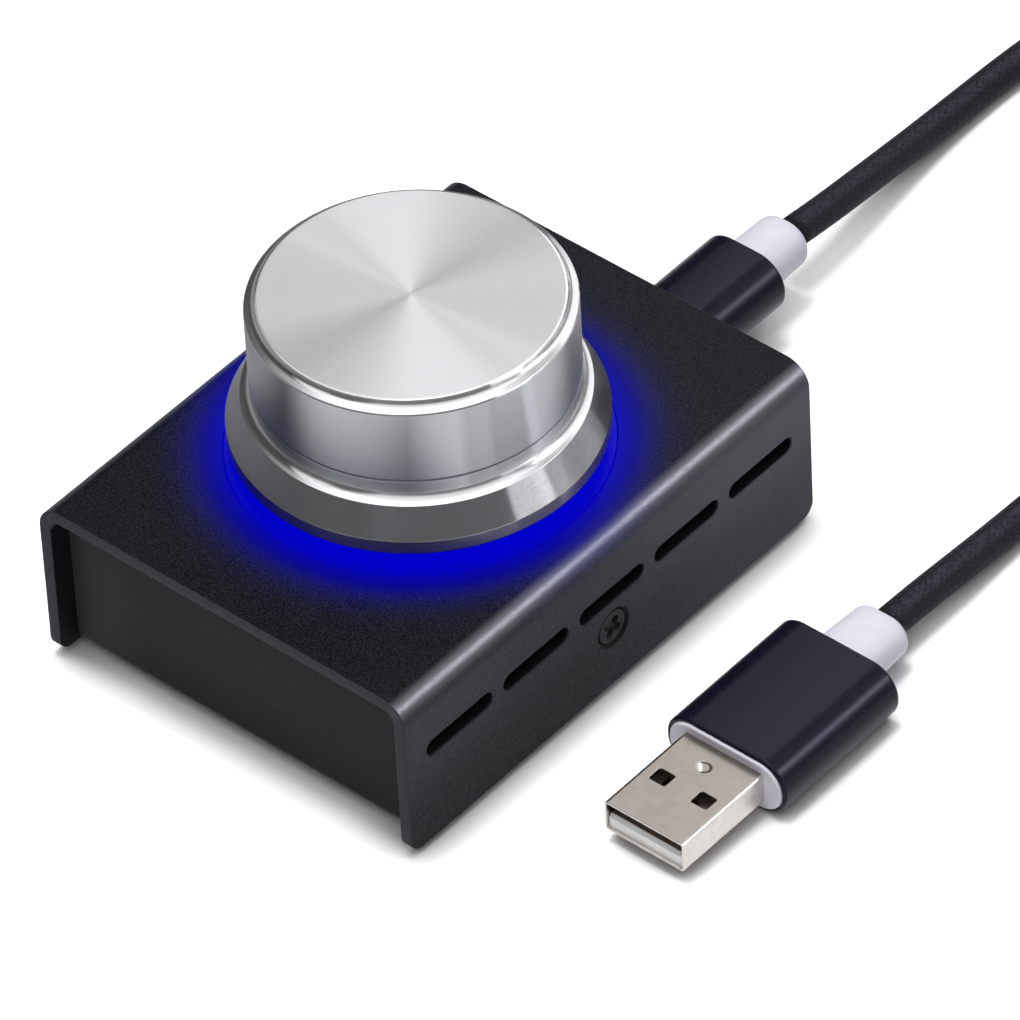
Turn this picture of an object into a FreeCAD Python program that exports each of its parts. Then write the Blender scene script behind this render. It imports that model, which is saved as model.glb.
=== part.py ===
import FreeCAD, Part
import math
import os
from FreeCAD import Vector

# USB volume knob: a large turned aluminium knob on a folded aluminium box, with a detachable braided lead.
#
# Frame: millimetres, +Z up. The origin is on the surface that the rubber feet stand on, under the middle of
# the box. The plain front panel faces -Y, and the lead leaves the rear panel along +Y.
# The knob turns without end about a vertical axis, and pushes down to mute.

# ---------------------------------------------------------------- driving dimensions
# Folded cover: top and two side walls of one sheet
BOX_WIDTH = 57.0
BOX_DEPTH = 74.2
BOX_HEIGHT = 23.6
COVER_WALL = 1.7
COVER_BEND = 3.4            # outside radius of the two long top edges
COVER_TOE = 2.0             # radius of the four lower corners of the side walls
SLOT_COUNT = 5
SLOT_MARGIN = 3.6           # metal left at each end of the row
SLOT_BRIDGE = 2.0           # metal left between two slots
SLOT_WIDTH = 2.4
SLOT_RISE = 14.1            # slot centre above the lower edge of the cover
SIDE_SCREW_RISE = 8.75      # screw centre above the lower edge of the cover

# Tray: floor, front panel and rear panel of one sheet, screwed to the cover through two side tabs
TRAY_WALL = 1.2
TRAY_BEND = 1.5             # outside radius under the two panels
TRAY_BEND_INSIDE = 0.3
TRAY_GAP = 0.15             # air between the tray and the cover
PANEL_SETBACK = 3.0         # how far both panels stand back from the ends of the cover
TAB_WIDTH = 14.0
TAB_HEIGHT = 14.0
TAB_CORNER = 2.0
COLLAR_RADIUS = 2.7         # drawn collar round each tapped hole
COLLAR_LENGTH = 1.6

# Rubber feet
FOOT_HEIGHT = 1.0
FOOT_RADIUS = 4.0
FOOT_EDGE = 0.3
FOOT_INSET_X = 7.5
FOOT_INSET_Y = 7.5

# Screws
THREAD_FIT = 0.02           # radial play that stands in for a thread
HOLE_FIT = 0.2              # radial play of a plain hole round a screw or bushing
SIDE_SCREW_RADIUS = 1.5
SIDE_SCREW_HEAD = 2.85
SIDE_SCREW_LENGTH = 6.0
BOARD_SCREW_RADIUS = 1.25
BOARD_SCREW_HEAD = 2.3
BOARD_SCREW_HEAD_HEIGHT = 1.5
BOARD_SCREW_GRIP = 3.0      # thread held in the standoff
CROSS_WIDTH = 0.7           # cross recess in every head
CROSS_DEPTH = 1.0

# Main circuit board, on four standoffs
BOARD_WALL = 1.6
BOARD_CORNER = 2.0
BOARD_SIDE_GAP = 0.5        # from the ends of the side screws
BOARD_REAR_GAP = 0.5        # from the rear panel
BOARD_FRONT_GAP = 5.3       # from the front panel
STANDOFF_HEIGHT = 3.4
STANDOFF_RADIUS = 2.5
STANDOFF_INSET = 4.0
CHIP_SIZE = (10.0, 4.0, 1.6)
CHIP_PLACE = (-6.0, -10.0)
CRYSTAL_SIZE = (11.0, 4.6, 3.4)
CRYSTAL_PLACE = (9.0, -10.0)
CAPACITOR_RADIUS = 2.0
CAPACITOR_HEIGHT = 5.2
CAPACITOR_PLACES = ((-14.0, 20.0), (14.0, 20.0))

# Micro USB socket at the rear edge of the main board
SOCKET_WIDTH = 7.5
SOCKET_HEIGHT = 2.6
SOCKET_DEPTH = 5.5
SOCKET_WALL = 0.3
SOCKET_SLANT = 0.7          # slanted lower corners
SOCKET_TONGUE = (3.7, 0.5, 3.4)
PANEL_FIT = 0.3             # air round the socket in the rear panel

# Pin header between the boards
HEADER_COLUMNS = 3
HEADER_PITCH = 2.54
HEADER_ROWS = 2
HEADER_Y = 13.0
HEADER_BASE = 2.5           # plastic round the pins, under the upper board
HEADER_FLOOR = 1.0          # of the header socket
HEADER_PIN = 0.64
HEADER_PIN_HOLE = 0.8
HEADER_PIN_TAIL = 1.0       # above the upper board
HEADER_PIN_GAP = 0.5        # between a pin's end and the header socket's floor

# Upper circuit board with the encoder and the ring of lights
KNOB_Y = -0.9               # the knob's axis lies a little in front of the middle of the box
UPPER_BOARD_SIZE = 42.0
UPPER_BOARD_CORNER = 4.0
LIGHT_COUNT = 8
LIGHT_CIRCLE = 16.0
LIGHT_HOLE_RADIUS = 1.5
LED_SIZE = (3.5, 2.8, 1.9)

# Light ring: a clear annular disc let into the top of the cover
RING_DEPTH = 0.8
RING_OUTSIDE = 23.4
RING_INSIDE = 8.5
RING_FIT = 0.1

# Push-turn encoder
ENCODER_WIDTH = 11.7
ENCODER_LENGTH = 12.4
ENCODER_CASE_HEIGHT = 4.4
ENCODER_PLATE = 2.2
ENCODER_CAVITY = 5.3
ENCODER_FLOOR = 0.8
BRACKET_LEG = (0.5, 2.4)    # thickness and width
PIN_SIZE = (0.8, 0.4)       # width and thickness
PIN_PITCH = 2.5
PIN_RISE = 2.0              # on the side of the case
PIN_TAIL = 1.0              # below the upper board
PIN_HOLE_RADIUS = 0.6
BUSHING_RADIUS = 3.5
BUSHING_HEIGHT = 5.0
SHAFT_RADIUS = 3.0
SHAFT_REACH = 20.0          # top of the shaft above the underside of the cover
SHAFT_FLAT = 1.5            # distance of the flat from the axis
SHAFT_FLAT_LENGTH = 12.0
SHAFT_RUNNING_FIT = 0.05
DOME_RADIUS = 2.3
DOME_HEIGHT = 0.8
DOME_SHEET = 0.12
PLUNGER_RADIUS = 2.2
PLUNGER_HEIGHT = 0.8
PRESS_TRAVEL = 0.5
DETENT_COUNT = 20
DETENT_WHEEL_RADIUS = 4.3
DETENT_WHEEL_HEIGHT = 1.2
DETENT_WHEEL_RISE = 0.4     # above the lower end of the shaft
DETENT_NOTCH = 0.35
DETENT_BEAD = 0.35          # radius of the spring's bead
DETENT_PLAY = 0.05
SPRING_SHEET = 0.2
SPRING_WALL_GAP = 0.1
SPRING_SWEEP = 80.0         # degrees
WASHER_RADIUS = 5.6
WASHER_HEIGHT = 0.4
NUT_FLATS = 10.0
NUT_HEIGHT = 2.0
NUT_CHAMFER = 0.4

# Knob: heights are above the top of the cover
KNOB_LIFT = 2.75            # air under the rim
RIM_RADIUS = 22.9
RIM_HEIGHT = 2.05
RIM_EDGE = 0.35
SHOULDER_RADIUS = 20.8
SHOULDER_RISE = 9.1
SHOULDER_ROUND = 0.6
NECK_RADIUS = 19.75
NECK_ROUND = 0.65
GROOVE_RISE = 11.7
GROOVE_WIDTH = 0.35
GROOVE_DEPTH = 0.25
KNOB_RISE = 23.2            # top face
FACE_RADIUS = 18.45
FACE_DROP = 1.2             # height of the rounded edge round the top face
FACE_ROUND = 0.8
FACE_LIP = 0.2
KNOB_CROWN = 2.8            # metal above the insert
KNOB_BORE = 17.0
BORE_EDGE = 0.4

# Plastic insert that grips the shaft
INSERT_FIT = 0.02
INSERT_RIM_WALL = 2.0
INSERT_RIM_RISE = 5.0
INSERT_WEB = 2.4
INSERT_HUB_RADIUS = 6.0
INSERT_HUB_GAP = 0.5        # left above the bushing when the knob is pushed down
INSERT_RIB_COUNT = 6
INSERT_RIB_WALL = 1.5
INSERT_RIB_RISE = 8.0
INSERT_SHAFT_HEADROOM = 0.2

# Lead
CORD_DIAMETER = 4.2
SLEEVE_WALL = 0.6
SLEEVE_EDGE = 0.35
MOULD_FIT = 0.02
# rear plug
REAR_SLEEVE_WIDTH = 12.5
REAR_SLEEVE_HEIGHT = 8.5
REAR_SLEEVE_CORNER = 4.1
REAR_SLEEVE_LENGTH = 24.8
REAR_SLEEVE_GAP = 0.5       # from the rear panel
REAR_RELIEF_WIDTH = 7.2
REAR_RELIEF_HEIGHT = 6.8
REAR_RELIEF_LENGTH = 8.6
TIP_REACH = 4.1             # into the socket
TIP_ROOT = 3.0              # inside the moulding
TIP_WIDTH = 6.84
TIP_HEIGHT = 1.84
TIP_WALL = 0.25
TIP_SLANT = 0.55
# computer end
PLUG_X = 49.9
PLUG_FRONT_Y = -20.4
PLUG_WIDTH = 12.0
PLUG_HEIGHT = 4.5
PLUG_WALL = 0.3
PLUG_CORNER = 0.4
PLUG_LENGTH = 14.7          # in front of the moulding
PLUG_ROOT = 4.0             # inside the moulding
WINDOW_WIDTH = 2.4
WINDOW_LENGTH = 2.2
WINDOW_SPACING = 6.3
WINDOW_SETBACK = 7.2        # window centre behind the mouth
TONGUE_HEIGHT = 1.84
TONGUE_SETBACK = 0.4
TONGUE_FIT = 0.05
CONTACT_WIDTH = 1.0
CONTACT_HEIGHT = 0.12
CONTACT_SETBACK = 1.4
CONTACTS = ((-3.5, 7.4), (-1.0, 6.4), (1.0, 6.4), (3.5, 7.4))     # place across the tongue and length
PLUG_SLEEVE_WIDTH = 18.1
PLUG_SLEEVE_HEIGHT = 8.2
PLUG_SLEEVE_CORNER = 3.9
PLUG_SLEEVE_LENGTH = 21.2
PLUG_SLEEVE_SETBACK = 0.3   # the moulding stands this far out of the sleeve
PLUG_RELIEF_WIDTH = 8.8
PLUG_RELIEF_HEIGHT = 6.4
PLUG_RELIEF_LENGTH = 9.6
RELIEF_TAPER = 0.93
RELIEF_ROUND = 1.2
# coil of the spare length, lying on the surface behind the box
COIL_CENTRE_X = 30.0
COIL_CENTRE_Y = 150.0
COIL_OUTER_TURN = 30.0      # centre line of the outermost turn
COIL_INNER_TURN = 17.1
COIL_LAYER = 4.25
COIL_LEAD = 17.0            # straight ends that leave the coil along -Y
COIL_SKIN = 0.05            # the ring that stands for the turns is this much larger all round
TIE_WALL = 0.6
TIE_SWEEP = 22.0            # degrees
TIE_FIT = 0.05

# ---------------------------------------------------------------- levels and places worked out from them
LEVEL_BOX = FOOT_HEIGHT
LEVEL_TOP = LEVEL_BOX + BOX_HEIGHT
LEVEL_CEILING = LEVEL_TOP - COVER_WALL
LEVEL_TRAY = LEVEL_BOX + TRAY_WALL
LEVEL_BOARD = LEVEL_TRAY + STANDOFF_HEIGHT
LEVEL_BOARD_TOP = LEVEL_BOARD + BOARD_WALL
LEVEL_SOCKET = LEVEL_BOARD_TOP + SOCKET_HEIGHT / 2
LEVEL_UPPER_TOP = LEVEL_CEILING - ENCODER_CASE_HEIGHT - ENCODER_PLATE
LEVEL_UPPER = LEVEL_UPPER_TOP - BOARD_WALL
LEVEL_CASE_TOP = LEVEL_UPPER_TOP + ENCODER_CASE_HEIGHT
LEVEL_DOME = LEVEL_UPPER_TOP + ENCODER_FLOOR
LEVEL_PLUNGER = LEVEL_DOME + DOME_HEIGHT
LEVEL_SHAFT = LEVEL_PLUNGER + PLUNGER_HEIGHT
LEVEL_SHAFT_TOP = LEVEL_CEILING + SHAFT_REACH
LEVEL_BUSHING_TOP = LEVEL_CEILING + BUSHING_HEIGHT
LEVEL_CROWN = LEVEL_TOP + KNOB_RISE - KNOB_CROWN
LEVEL_COIL = TIE_WALL + COIL_SKIN + CORD_DIAMETER / 2
LEVEL_PLUG = PLUG_SLEEVE_HEIGHT / 2

HALF_WIDTH = BOX_WIDTH / 2
HALF_DEPTH = BOX_DEPTH / 2
TRAY_HALF = HALF_WIDTH - COVER_WALL - TRAY_GAP
PANEL_REAR = HALF_DEPTH - PANEL_SETBACK
BOARD_REAR = PANEL_REAR - TRAY_WALL - BOARD_REAR_GAP
BOARD_FRONT = -PANEL_REAR + TRAY_WALL + BOARD_FRONT_GAP
BOARD_HALF = HALF_WIDTH - SIDE_SCREW_LENGTH - BOARD_SIDE_GAP
LEVEL_HEADER = LEVEL_UPPER - HEADER_BASE
SLOT_LENGTH = (BOX_DEPTH - 2 * SLOT_MARGIN - (SLOT_COUNT - 1) * SLOT_BRIDGE) / SLOT_COUNT
SLOT_PITCH = SLOT_LENGTH + SLOT_BRIDGE
LEVEL_SIDE_SCREW = LEVEL_BOX + SIDE_SCREW_RISE
REAR_SLEEVE_START = PANEL_REAR + REAR_SLEEVE_GAP
REAR_SLEEVE_END = REAR_SLEEVE_START + REAR_SLEEVE_LENGTH
REAR_CORD_START = REAR_SLEEVE_END + REAR_RELIEF_LENGTH
PLUG_MOULD_START = PLUG_FRONT_Y + PLUG_LENGTH
PLUG_SLEEVE_START = PLUG_MOULD_START + PLUG_SLEEVE_SETBACK
PLUG_SLEEVE_END = PLUG_SLEEVE_START + PLUG_SLEEVE_LENGTH
PLUG_CORD_START = PLUG_SLEEVE_END + PLUG_RELIEF_LENGTH
COIL_START_Y = COIL_CENTRE_Y - COIL_LEAD

KNOB_FOOT = Vector(0, KNOB_Y, 0)
UP = Vector(0, 0, 1)
BACK = Vector(0, 1, 0)
RIGHT = Vector(1, 0, 0)

# Routes of the lead, from each plug's strain relief to the coil
REAR_ROUTE = (
    (0.0, REAR_CORD_START, LEVEL_SOCKET),
    (0.0, 82.0, LEVEL_SOCKET),
    (0.0, 104.0, 6.9),
    (0.0, 122.0, LEVEL_COIL),
    (COIL_CENTRE_X - COIL_OUTER_TURN, COIL_START_Y, LEVEL_COIL),
)
PLUG_ROUTE = (
    (PLUG_X, PLUG_CORD_START, LEVEL_PLUG),
    (PLUG_X, 35.0, LEVEL_PLUG),
    (50.2, 50.0, 2.2),
    (51.4, 70.0, 2.1),
    (55.5, 92.0, 2.15),
    (59.4, 109.0, 3.9),
    (COIL_CENTRE_X + COIL_OUTER_TURN, 121.0, LEVEL_COIL + COIL_LAYER),
    (COIL_CENTRE_X + COIL_OUTER_TURN, COIL_START_Y, LEVEL_COIL + COIL_LAYER),
)


# ---------------------------------------------------------------- shapes that several pieces share
LIFT = {
    "xy": lambda u, v, w: Vector(u, v, w),
    "xz": lambda u, v, w: Vector(u, w, v),
    "yz": lambda u, v, w: Vector(w, u, v),
}
NORMAL = {"xy": UP, "xz": BACK, "yz": RIGHT}


def outline(corners, plane, level):
    """Closed wire through corners (u, v) or (u, v, radius); a radius rounds that corner with a tangent arc."""
    spots = [LIFT[plane](c[0], c[1], level) for c in corners]
    radii = [c[2] if len(c) > 2 else 0.0 for c in corners]
    starts, ends, edges = [], [], []
    for i, spot in enumerate(spots):
        before = (spots[i - 1] - spot).normalize()
        after = (spots[(i + 1) % len(spots)] - spot).normalize()
        half = before.getAngle(after) / 2
        reach = radii[i] / math.tan(half) if radii[i] else 0.0
        start, end = spot + before * reach, spot + after * reach
        starts.append(start)
        ends.append(end)
        if radii[i]:
            inward = (before + after).normalize()
            middle = spot + inward * (radii[i] / math.sin(half) - radii[i])
            edges.append(Part.Arc(start, middle, end).toShape())
        following = (i + 1) % len(spots)
        edges.append((i, following))
    wire = []
    for edge in edges:
        if isinstance(edge, tuple):
            a = ends[edge[0]]
            b = starts[edge[1]]
            if a.distanceToPoint(b) > 1e-6:
                wire.append(Part.LineSegment(a, b).toShape())
        else:
            wire.append(edge)
    return Part.Wire(Part.__sortEdges__(wire))


def prism(corners, plane, start, end):
    """Straight extrusion of an outline across its plane, from start to end."""
    face = Part.Face(outline(corners, plane, start))
    return face.extrude(NORMAL[plane] * (end - start))


def box_corners(u0, u1, v0, v1, radius=0.0):
    """Corners of an upright rectangle, all with one radius."""
    return [(u0, v0, radius), (u1, v0, radius), (u1, v1, radius), (u0, v1, radius)]


def centred_corners(u, v, width, height, radius=0.0):
    """Corners of a rectangle round the point (u, v)."""
    return box_corners(u - width / 2, u + width / 2, v - height / 2, v + height / 2, radius)


def block(x, y, z, size):
    """Plain block of size (x, y, z), standing on level z round the point (x, y)."""
    return prism(centred_corners(x, y, size[0], size[1]), "xy", z, z + size[2])


def turned(profile, foot, sweep=360.0):
    """Profile of (radius, level, corner radius) turned about the vertical line through foot."""
    face = Part.Face(outline(profile, "xz", 0.0))
    face.translate(Vector(foot.x, foot.y, 0))
    return face.revolve(Vector(foot.x, foot.y, 0), UP, sweep)


def upright(x, y, z0, z1, radius):
    """Vertical cylinder between two levels."""
    return Part.makeCylinder(radius, z1 - z0, Vector(x, y, z0), UP)


def around_knob(shape, count, first=0.0):
    """Copies of a shape spaced evenly round the knob's axis."""
    copies = []
    for i in range(count):
        copy = shape.copy()
        copy.rotate(KNOB_FOOT, UP, first + 360.0 * i / count)
        copies.append(copy)
    return copies


def cross_recess(base, direction, head):
    """Cross-shaped driver recess, cut along direction from the point base on a screw head."""
    arm = head * 1.1
    bars = []
    for width, height in ((arm, CROSS_WIDTH), (CROSS_WIDTH, arm)):
        bar = Part.makeBox(width, height, CROSS_DEPTH, Vector(-width / 2, -height / 2, 0))
        bars.append(bar)
    cross = bars[0].fuse(bars[1])
    turn = FreeCAD.Rotation(UP, direction)
    cross.Placement = FreeCAD.Placement(base, turn)
    return cross


# ---------------------------------------------------------------- box
def side_screw_sites():
    """Centre of each side screw's flat head and the direction that the screw points."""
    return [
        (Vector(HALF_WIDTH, 0, LEVEL_SIDE_SCREW), Vector(-1, 0, 0)),
        (Vector(-HALF_WIDTH, 0, LEVEL_SIDE_SCREW), Vector(1, 0, 0)),
    ]


def countersink_depth():
    """Depth of a 90 degree countersunk head."""
    return SIDE_SCREW_HEAD - SIDE_SCREW_RADIUS


def top_cover():
    """Folded sheet with rounded long edges, vent slots, countersunk screw holes and the light ring's seat."""
    w, t, z0, z1 = HALF_WIDTH, COVER_WALL, LEVEL_BOX, LEVEL_TOP
    inside = COVER_BEND - t
    section = [
        (-w, z0), (-w, z1, COVER_BEND), (w, z1, COVER_BEND), (w, z0),
        (w - t, z0), (w - t, z1 - t, inside), (-w + t, z1 - t, inside), (-w + t, z0),
    ]
    cover = prism(section, "xz", -HALF_DEPTH, HALF_DEPTH)
    toes = []
    for edge in cover.Edges:
        middle = edge.CenterOfMass
        along_x = abs(edge.BoundBox.XLength - t) < 1e-3
        if along_x and abs(middle.z - z0) < 1e-3 and abs(abs(middle.y) - HALF_DEPTH) < 1e-3:
            toes.append(edge)
    cover = cover.makeFillet(COVER_TOE, toes)
    cuts = []
    for i in range(SLOT_COUNT):
        y = (i - (SLOT_COUNT - 1) / 2) * SLOT_PITCH
        slot = centred_corners(y, z0 + SLOT_RISE, SLOT_LENGTH, SLOT_WIDTH, SLOT_WIDTH * 0.499)
        cuts.append(prism(slot, "yz", -w - 1, w + 1))
    for head, inward in side_screw_sites():
        cuts.append(Part.makeCylinder(SIDE_SCREW_RADIUS + HOLE_FIT, 2 * t, head, inward))
        wide = SIDE_SCREW_HEAD + THREAD_FIT
        narrow = wide - countersink_depth()
        cuts.append(Part.makeCone(wide, narrow, countersink_depth(), head, inward))
    cuts.append(upright(0, KNOB_Y, LEVEL_CEILING - 1, z1 + 1, BUSHING_RADIUS + HOLE_FIT))
    cuts.append(turned(box_corners(RING_INSIDE, RING_OUTSIDE, z1 - RING_DEPTH, z1 + 1), KNOB_FOOT))
    hole = upright(LIGHT_CIRCLE, KNOB_Y, LEVEL_CEILING - 1, z1, LIGHT_HOLE_RADIUS)
    cuts.extend(around_knob(hole, LIGHT_COUNT, 180.0 / LIGHT_COUNT))
    return cover.cut(cuts)


def base_tray():
    """Folded floor with front and rear panels, two tapped side tabs and the socket's opening."""
    w, t, z0 = TRAY_HALF, TRAY_WALL, LEVEL_BOX
    top = LEVEL_CEILING - TRAY_GAP
    y = PANEL_REAR
    section = [
        (-y, top), (-y, z0, TRAY_BEND), (y, z0, TRAY_BEND), (y, top),
        (y - t, top), (y - t, LEVEL_TRAY, TRAY_BEND_INSIDE),
        (-y + t, LEVEL_TRAY, TRAY_BEND_INSIDE), (-y + t, top),
    ]
    tray = prism(section, "yz", -w, w)
    corner = COVER_BEND - COVER_WALL
    front_view = [(-w, z0), (w, z0), (w, top, corner), (-w, top, corner)]
    tray = tray.common(prism(front_view, "xz", -y - 1, y + 1))
    tab_outline = [
        (-TAB_WIDTH / 2, z0), (TAB_WIDTH / 2, z0),
        (TAB_WIDTH / 2, z0 + TAB_HEIGHT, TAB_CORNER), (-TAB_WIDTH / 2, z0 + TAB_HEIGHT, TAB_CORNER),
    ]
    tabs, bores = [], []
    for side in (-1, 1):
        tab = prism(tab_outline, "yz", side * w, side * (w - t))
        axis = Vector(side * w, 0, LEVEL_SIDE_SCREW)
        inward = Vector(-side, 0, 0)
        tabs.append(tab)
        tabs.append(Part.makeCylinder(COLLAR_RADIUS, t + COLLAR_LENGTH, axis, inward))
        bores.append(Part.makeCylinder(SIDE_SCREW_RADIUS + THREAD_FIT, t + COLLAR_LENGTH, axis, inward))
    tray = tray.fuse(tabs).removeSplitter()
    opening = centred_corners(0, LEVEL_SOCKET, SOCKET_WIDTH + 2 * PANEL_FIT,
                              SOCKET_HEIGHT + 2 * PANEL_FIT, PANEL_FIT)
    return tray.cut(bores + [prism(opening, "xz", y - t - 1, y + 1)])


def side_screws():
    """Two countersunk cross-head screws, flush with the cover."""
    screws = []
    for head, inward in side_screw_sites():
        depth = countersink_depth()
        cone = Part.makeCone(SIDE_SCREW_HEAD, SIDE_SCREW_RADIUS, depth, head, inward)
        shank = Part.makeCylinder(SIDE_SCREW_RADIUS, SIDE_SCREW_LENGTH, head, inward)
        screw = cone.fuse(shank).removeSplitter()
        screws.append(screw.cut(cross_recess(head, inward, SIDE_SCREW_HEAD)))
    return Part.makeCompound(screws)


def rubber_feet():
    """Four round stick-on feet under the corners of the tray."""
    profile = [
        (0, 0), (FOOT_RADIUS - FOOT_EDGE, 0), (FOOT_RADIUS, FOOT_EDGE), (FOOT_RADIUS, FOOT_HEIGHT),
        (0, FOOT_HEIGHT),
    ]
    feet = []
    for x in (-1, 1):
        for y in (-1, 1):
            place = Vector(x * (HALF_WIDTH - FOOT_INSET_X), y * (PANEL_REAR - FOOT_INSET_Y), 0)
            feet.append(turned(profile, place))
    return Part.makeCompound(feet)


# ---------------------------------------------------------------- main board
def standoff_sites():
    """Centres of the four standoffs."""
    x = BOARD_HALF - STANDOFF_INSET
    return [(side * x, y) for side in (-1, 1)
            for y in (BOARD_REAR - STANDOFF_INSET, BOARD_FRONT + STANDOFF_INSET)]


def main_board():
    """Circuit board with four screw holes."""
    corners = box_corners(-BOARD_HALF, BOARD_HALF, BOARD_FRONT, BOARD_REAR, BOARD_CORNER)
    board = prism(corners, "xy", LEVEL_BOARD, LEVEL_BOARD_TOP)
    radius = BOARD_SCREW_RADIUS + HOLE_FIT
    return board.cut([upright(x, y, LEVEL_BOARD - 1, LEVEL_BOARD_TOP + 1, radius)
                      for x, y in standoff_sites()])


def board_standoffs():
    """Four tapped round standoffs pressed into the tray's floor."""
    bore = BOARD_SCREW_RADIUS + THREAD_FIT
    low, high = LEVEL_TRAY, LEVEL_BOARD
    return Part.makeCompound([upright(x, y, low, high, STANDOFF_RADIUS).cut(upright(x, y, low, high, bore))
                              for x, y in standoff_sites()])


def board_screws():
    """Four pan-head screws that hold the main board."""
    screws = []
    for x, y in standoff_sites():
        head = [
            (0, LEVEL_BOARD_TOP), (BOARD_SCREW_HEAD, LEVEL_BOARD_TOP),
            (BOARD_SCREW_HEAD, LEVEL_BOARD_TOP + BOARD_SCREW_HEAD_HEIGHT, BOARD_SCREW_HEAD_HEIGHT / 2),
            (0, LEVEL_BOARD_TOP + BOARD_SCREW_HEAD_HEIGHT),
        ]
        shank = upright(x, y, LEVEL_BOARD - BOARD_SCREW_GRIP, LEVEL_BOARD_TOP, BOARD_SCREW_RADIUS)
        screw = turned(head, Vector(x, y, 0)).fuse(shank)
        top = Vector(x, y, LEVEL_BOARD_TOP + BOARD_SCREW_HEAD_HEIGHT)
        screws.append(screw.cut(cross_recess(top, Vector(0, 0, -1), BOARD_SCREW_HEAD)))
    return Part.makeCompound(screws)


def slanted_corners(width, height, slant, level):
    """Rectangle with its two lower corners cut off at a slant, as a micro USB shell has."""
    w, h = width / 2, height / 2
    return [
        (-w + slant, level - h), (w - slant, level - h), (w, level - h + slant),
        (w, level + h), (-w, level + h), (-w, level - h + slant),
    ]


def usb_socket():
    """Micro USB socket: a folded shell closed at its back, with its contact tongue."""
    mouth, back = PANEL_REAR, PANEL_REAR - SOCKET_DEPTH
    shell = prism(slanted_corners(SOCKET_WIDTH, SOCKET_HEIGHT, SOCKET_SLANT, LEVEL_SOCKET), "xz", back, mouth)
    inner = slanted_corners(SOCKET_WIDTH - 2 * SOCKET_WALL, SOCKET_HEIGHT - 2 * SOCKET_WALL,
                            SOCKET_SLANT - SOCKET_WALL / 2, LEVEL_SOCKET)
    hollow = prism(inner, "xz", back + SOCKET_WALL, mouth + 1)
    width, height, reach = SOCKET_TONGUE
    tongue = prism(centred_corners(0, LEVEL_SOCKET, width, height), "xz", back, back + SOCKET_WALL + reach)
    return shell.cut(hollow).fuse(tongue)


def controller_chip():
    """Body of the controller chip."""
    return block(CHIP_PLACE[0], CHIP_PLACE[1], LEVEL_BOARD_TOP, CHIP_SIZE)


def capacitors():
    """Electrolytic capacitors that steady the supply."""
    z = LEVEL_BOARD_TOP
    return Part.makeCompound([upright(x, y, z, z + CAPACITOR_HEIGHT, CAPACITOR_RADIUS)
                              for x, y in CAPACITOR_PLACES])


def crystal():
    """Metal can of the quartz crystal, with half-round ends."""
    x, y = CRYSTAL_PLACE
    length, width, height = CRYSTAL_SIZE
    can = centred_corners(x, y, length, width, width * 0.499)
    return prism(can, "xy", LEVEL_BOARD_TOP, LEVEL_BOARD_TOP + height)


def header_sites():
    """Centre of each pin of the header."""
    return [((i - (HEADER_COLUMNS - 1) / 2) * HEADER_PITCH,
             HEADER_Y + (j - (HEADER_ROWS - 1) / 2) * HEADER_PITCH)
            for i in range(HEADER_COLUMNS) for j in range(HEADER_ROWS)]


def header_body(z0, z1):
    """Plain block over the whole header between two levels."""
    size = (HEADER_COLUMNS * HEADER_PITCH, HEADER_ROWS * HEADER_PITCH, z1 - z0)
    return block(0, HEADER_Y, z0, size)


def header_socket():
    """Female header on the main board, up to the male header."""
    floor = LEVEL_BOARD_TOP + HEADER_FLOOR
    depth = LEVEL_HEADER - floor
    holes = [block(x, y, floor, (HEADER_PIN_HOLE, HEADER_PIN_HOLE, depth + 1)) for x, y in header_sites()]
    return header_body(LEVEL_BOARD_TOP, LEVEL_HEADER).cut(holes)


def header_pins():
    """Male header under the upper board, with its pins through the board and into the female header."""
    bottom = LEVEL_BOARD_TOP + HEADER_FLOOR + HEADER_PIN_GAP
    height = LEVEL_UPPER_TOP + HEADER_PIN_TAIL - bottom
    pins = [block(x, y, bottom, (HEADER_PIN, HEADER_PIN, height)) for x, y in header_sites()]
    return header_body(LEVEL_HEADER, LEVEL_UPPER).fuse(pins)


# ---------------------------------------------------------------- upper board and lights
def pin_sites():
    """Centre of each encoder pin: three in front of the case, two behind it."""
    y = ENCODER_LENGTH / 2 + PIN_SIZE[1] / 2
    front = [(x * PIN_PITCH, KNOB_Y - y) for x in (-1, 0, 1)]
    rear = [(x * PIN_PITCH, KNOB_Y + y) for x in (-1, 1)]
    return front + rear


def leg_sites():
    """Centre of each bracket leg."""
    x = ENCODER_WIDTH / 2 + BRACKET_LEG[0] / 2
    return [(-x, KNOB_Y), (x, KNOB_Y)]


def upper_board():
    """Board that carries the encoder and the lights, hung from the cover by the encoder's nut."""
    corners = centred_corners(0, KNOB_Y, UPPER_BOARD_SIZE, UPPER_BOARD_SIZE, UPPER_BOARD_CORNER)
    board = prism(corners, "xy", LEVEL_UPPER, LEVEL_UPPER_TOP)
    height = BOARD_WALL + 2
    holes = [upright(x, y, LEVEL_UPPER - 1, LEVEL_UPPER_TOP + 1, PIN_HOLE_RADIUS) for x, y in pin_sites()]
    slot = (BRACKET_LEG[0] + THREAD_FIT, BRACKET_LEG[1] + THREAD_FIT, height)
    holes += [block(x, y, LEVEL_UPPER - 1, slot) for x, y in leg_sites()]
    square = (HEADER_PIN_HOLE, HEADER_PIN_HOLE, height)
    holes += [block(x, y, LEVEL_UPPER - 1, square) for x, y in header_sites()]
    return board.cut(holes)


def ring_lights():
    """Ring of light-emitting diodes, one under each hole of the cover."""
    led = block(LIGHT_CIRCLE, KNOB_Y, LEVEL_UPPER_TOP, LED_SIZE)
    return Part.makeCompound(around_knob(led, LIGHT_COUNT, 180.0 / LIGHT_COUNT))


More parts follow.
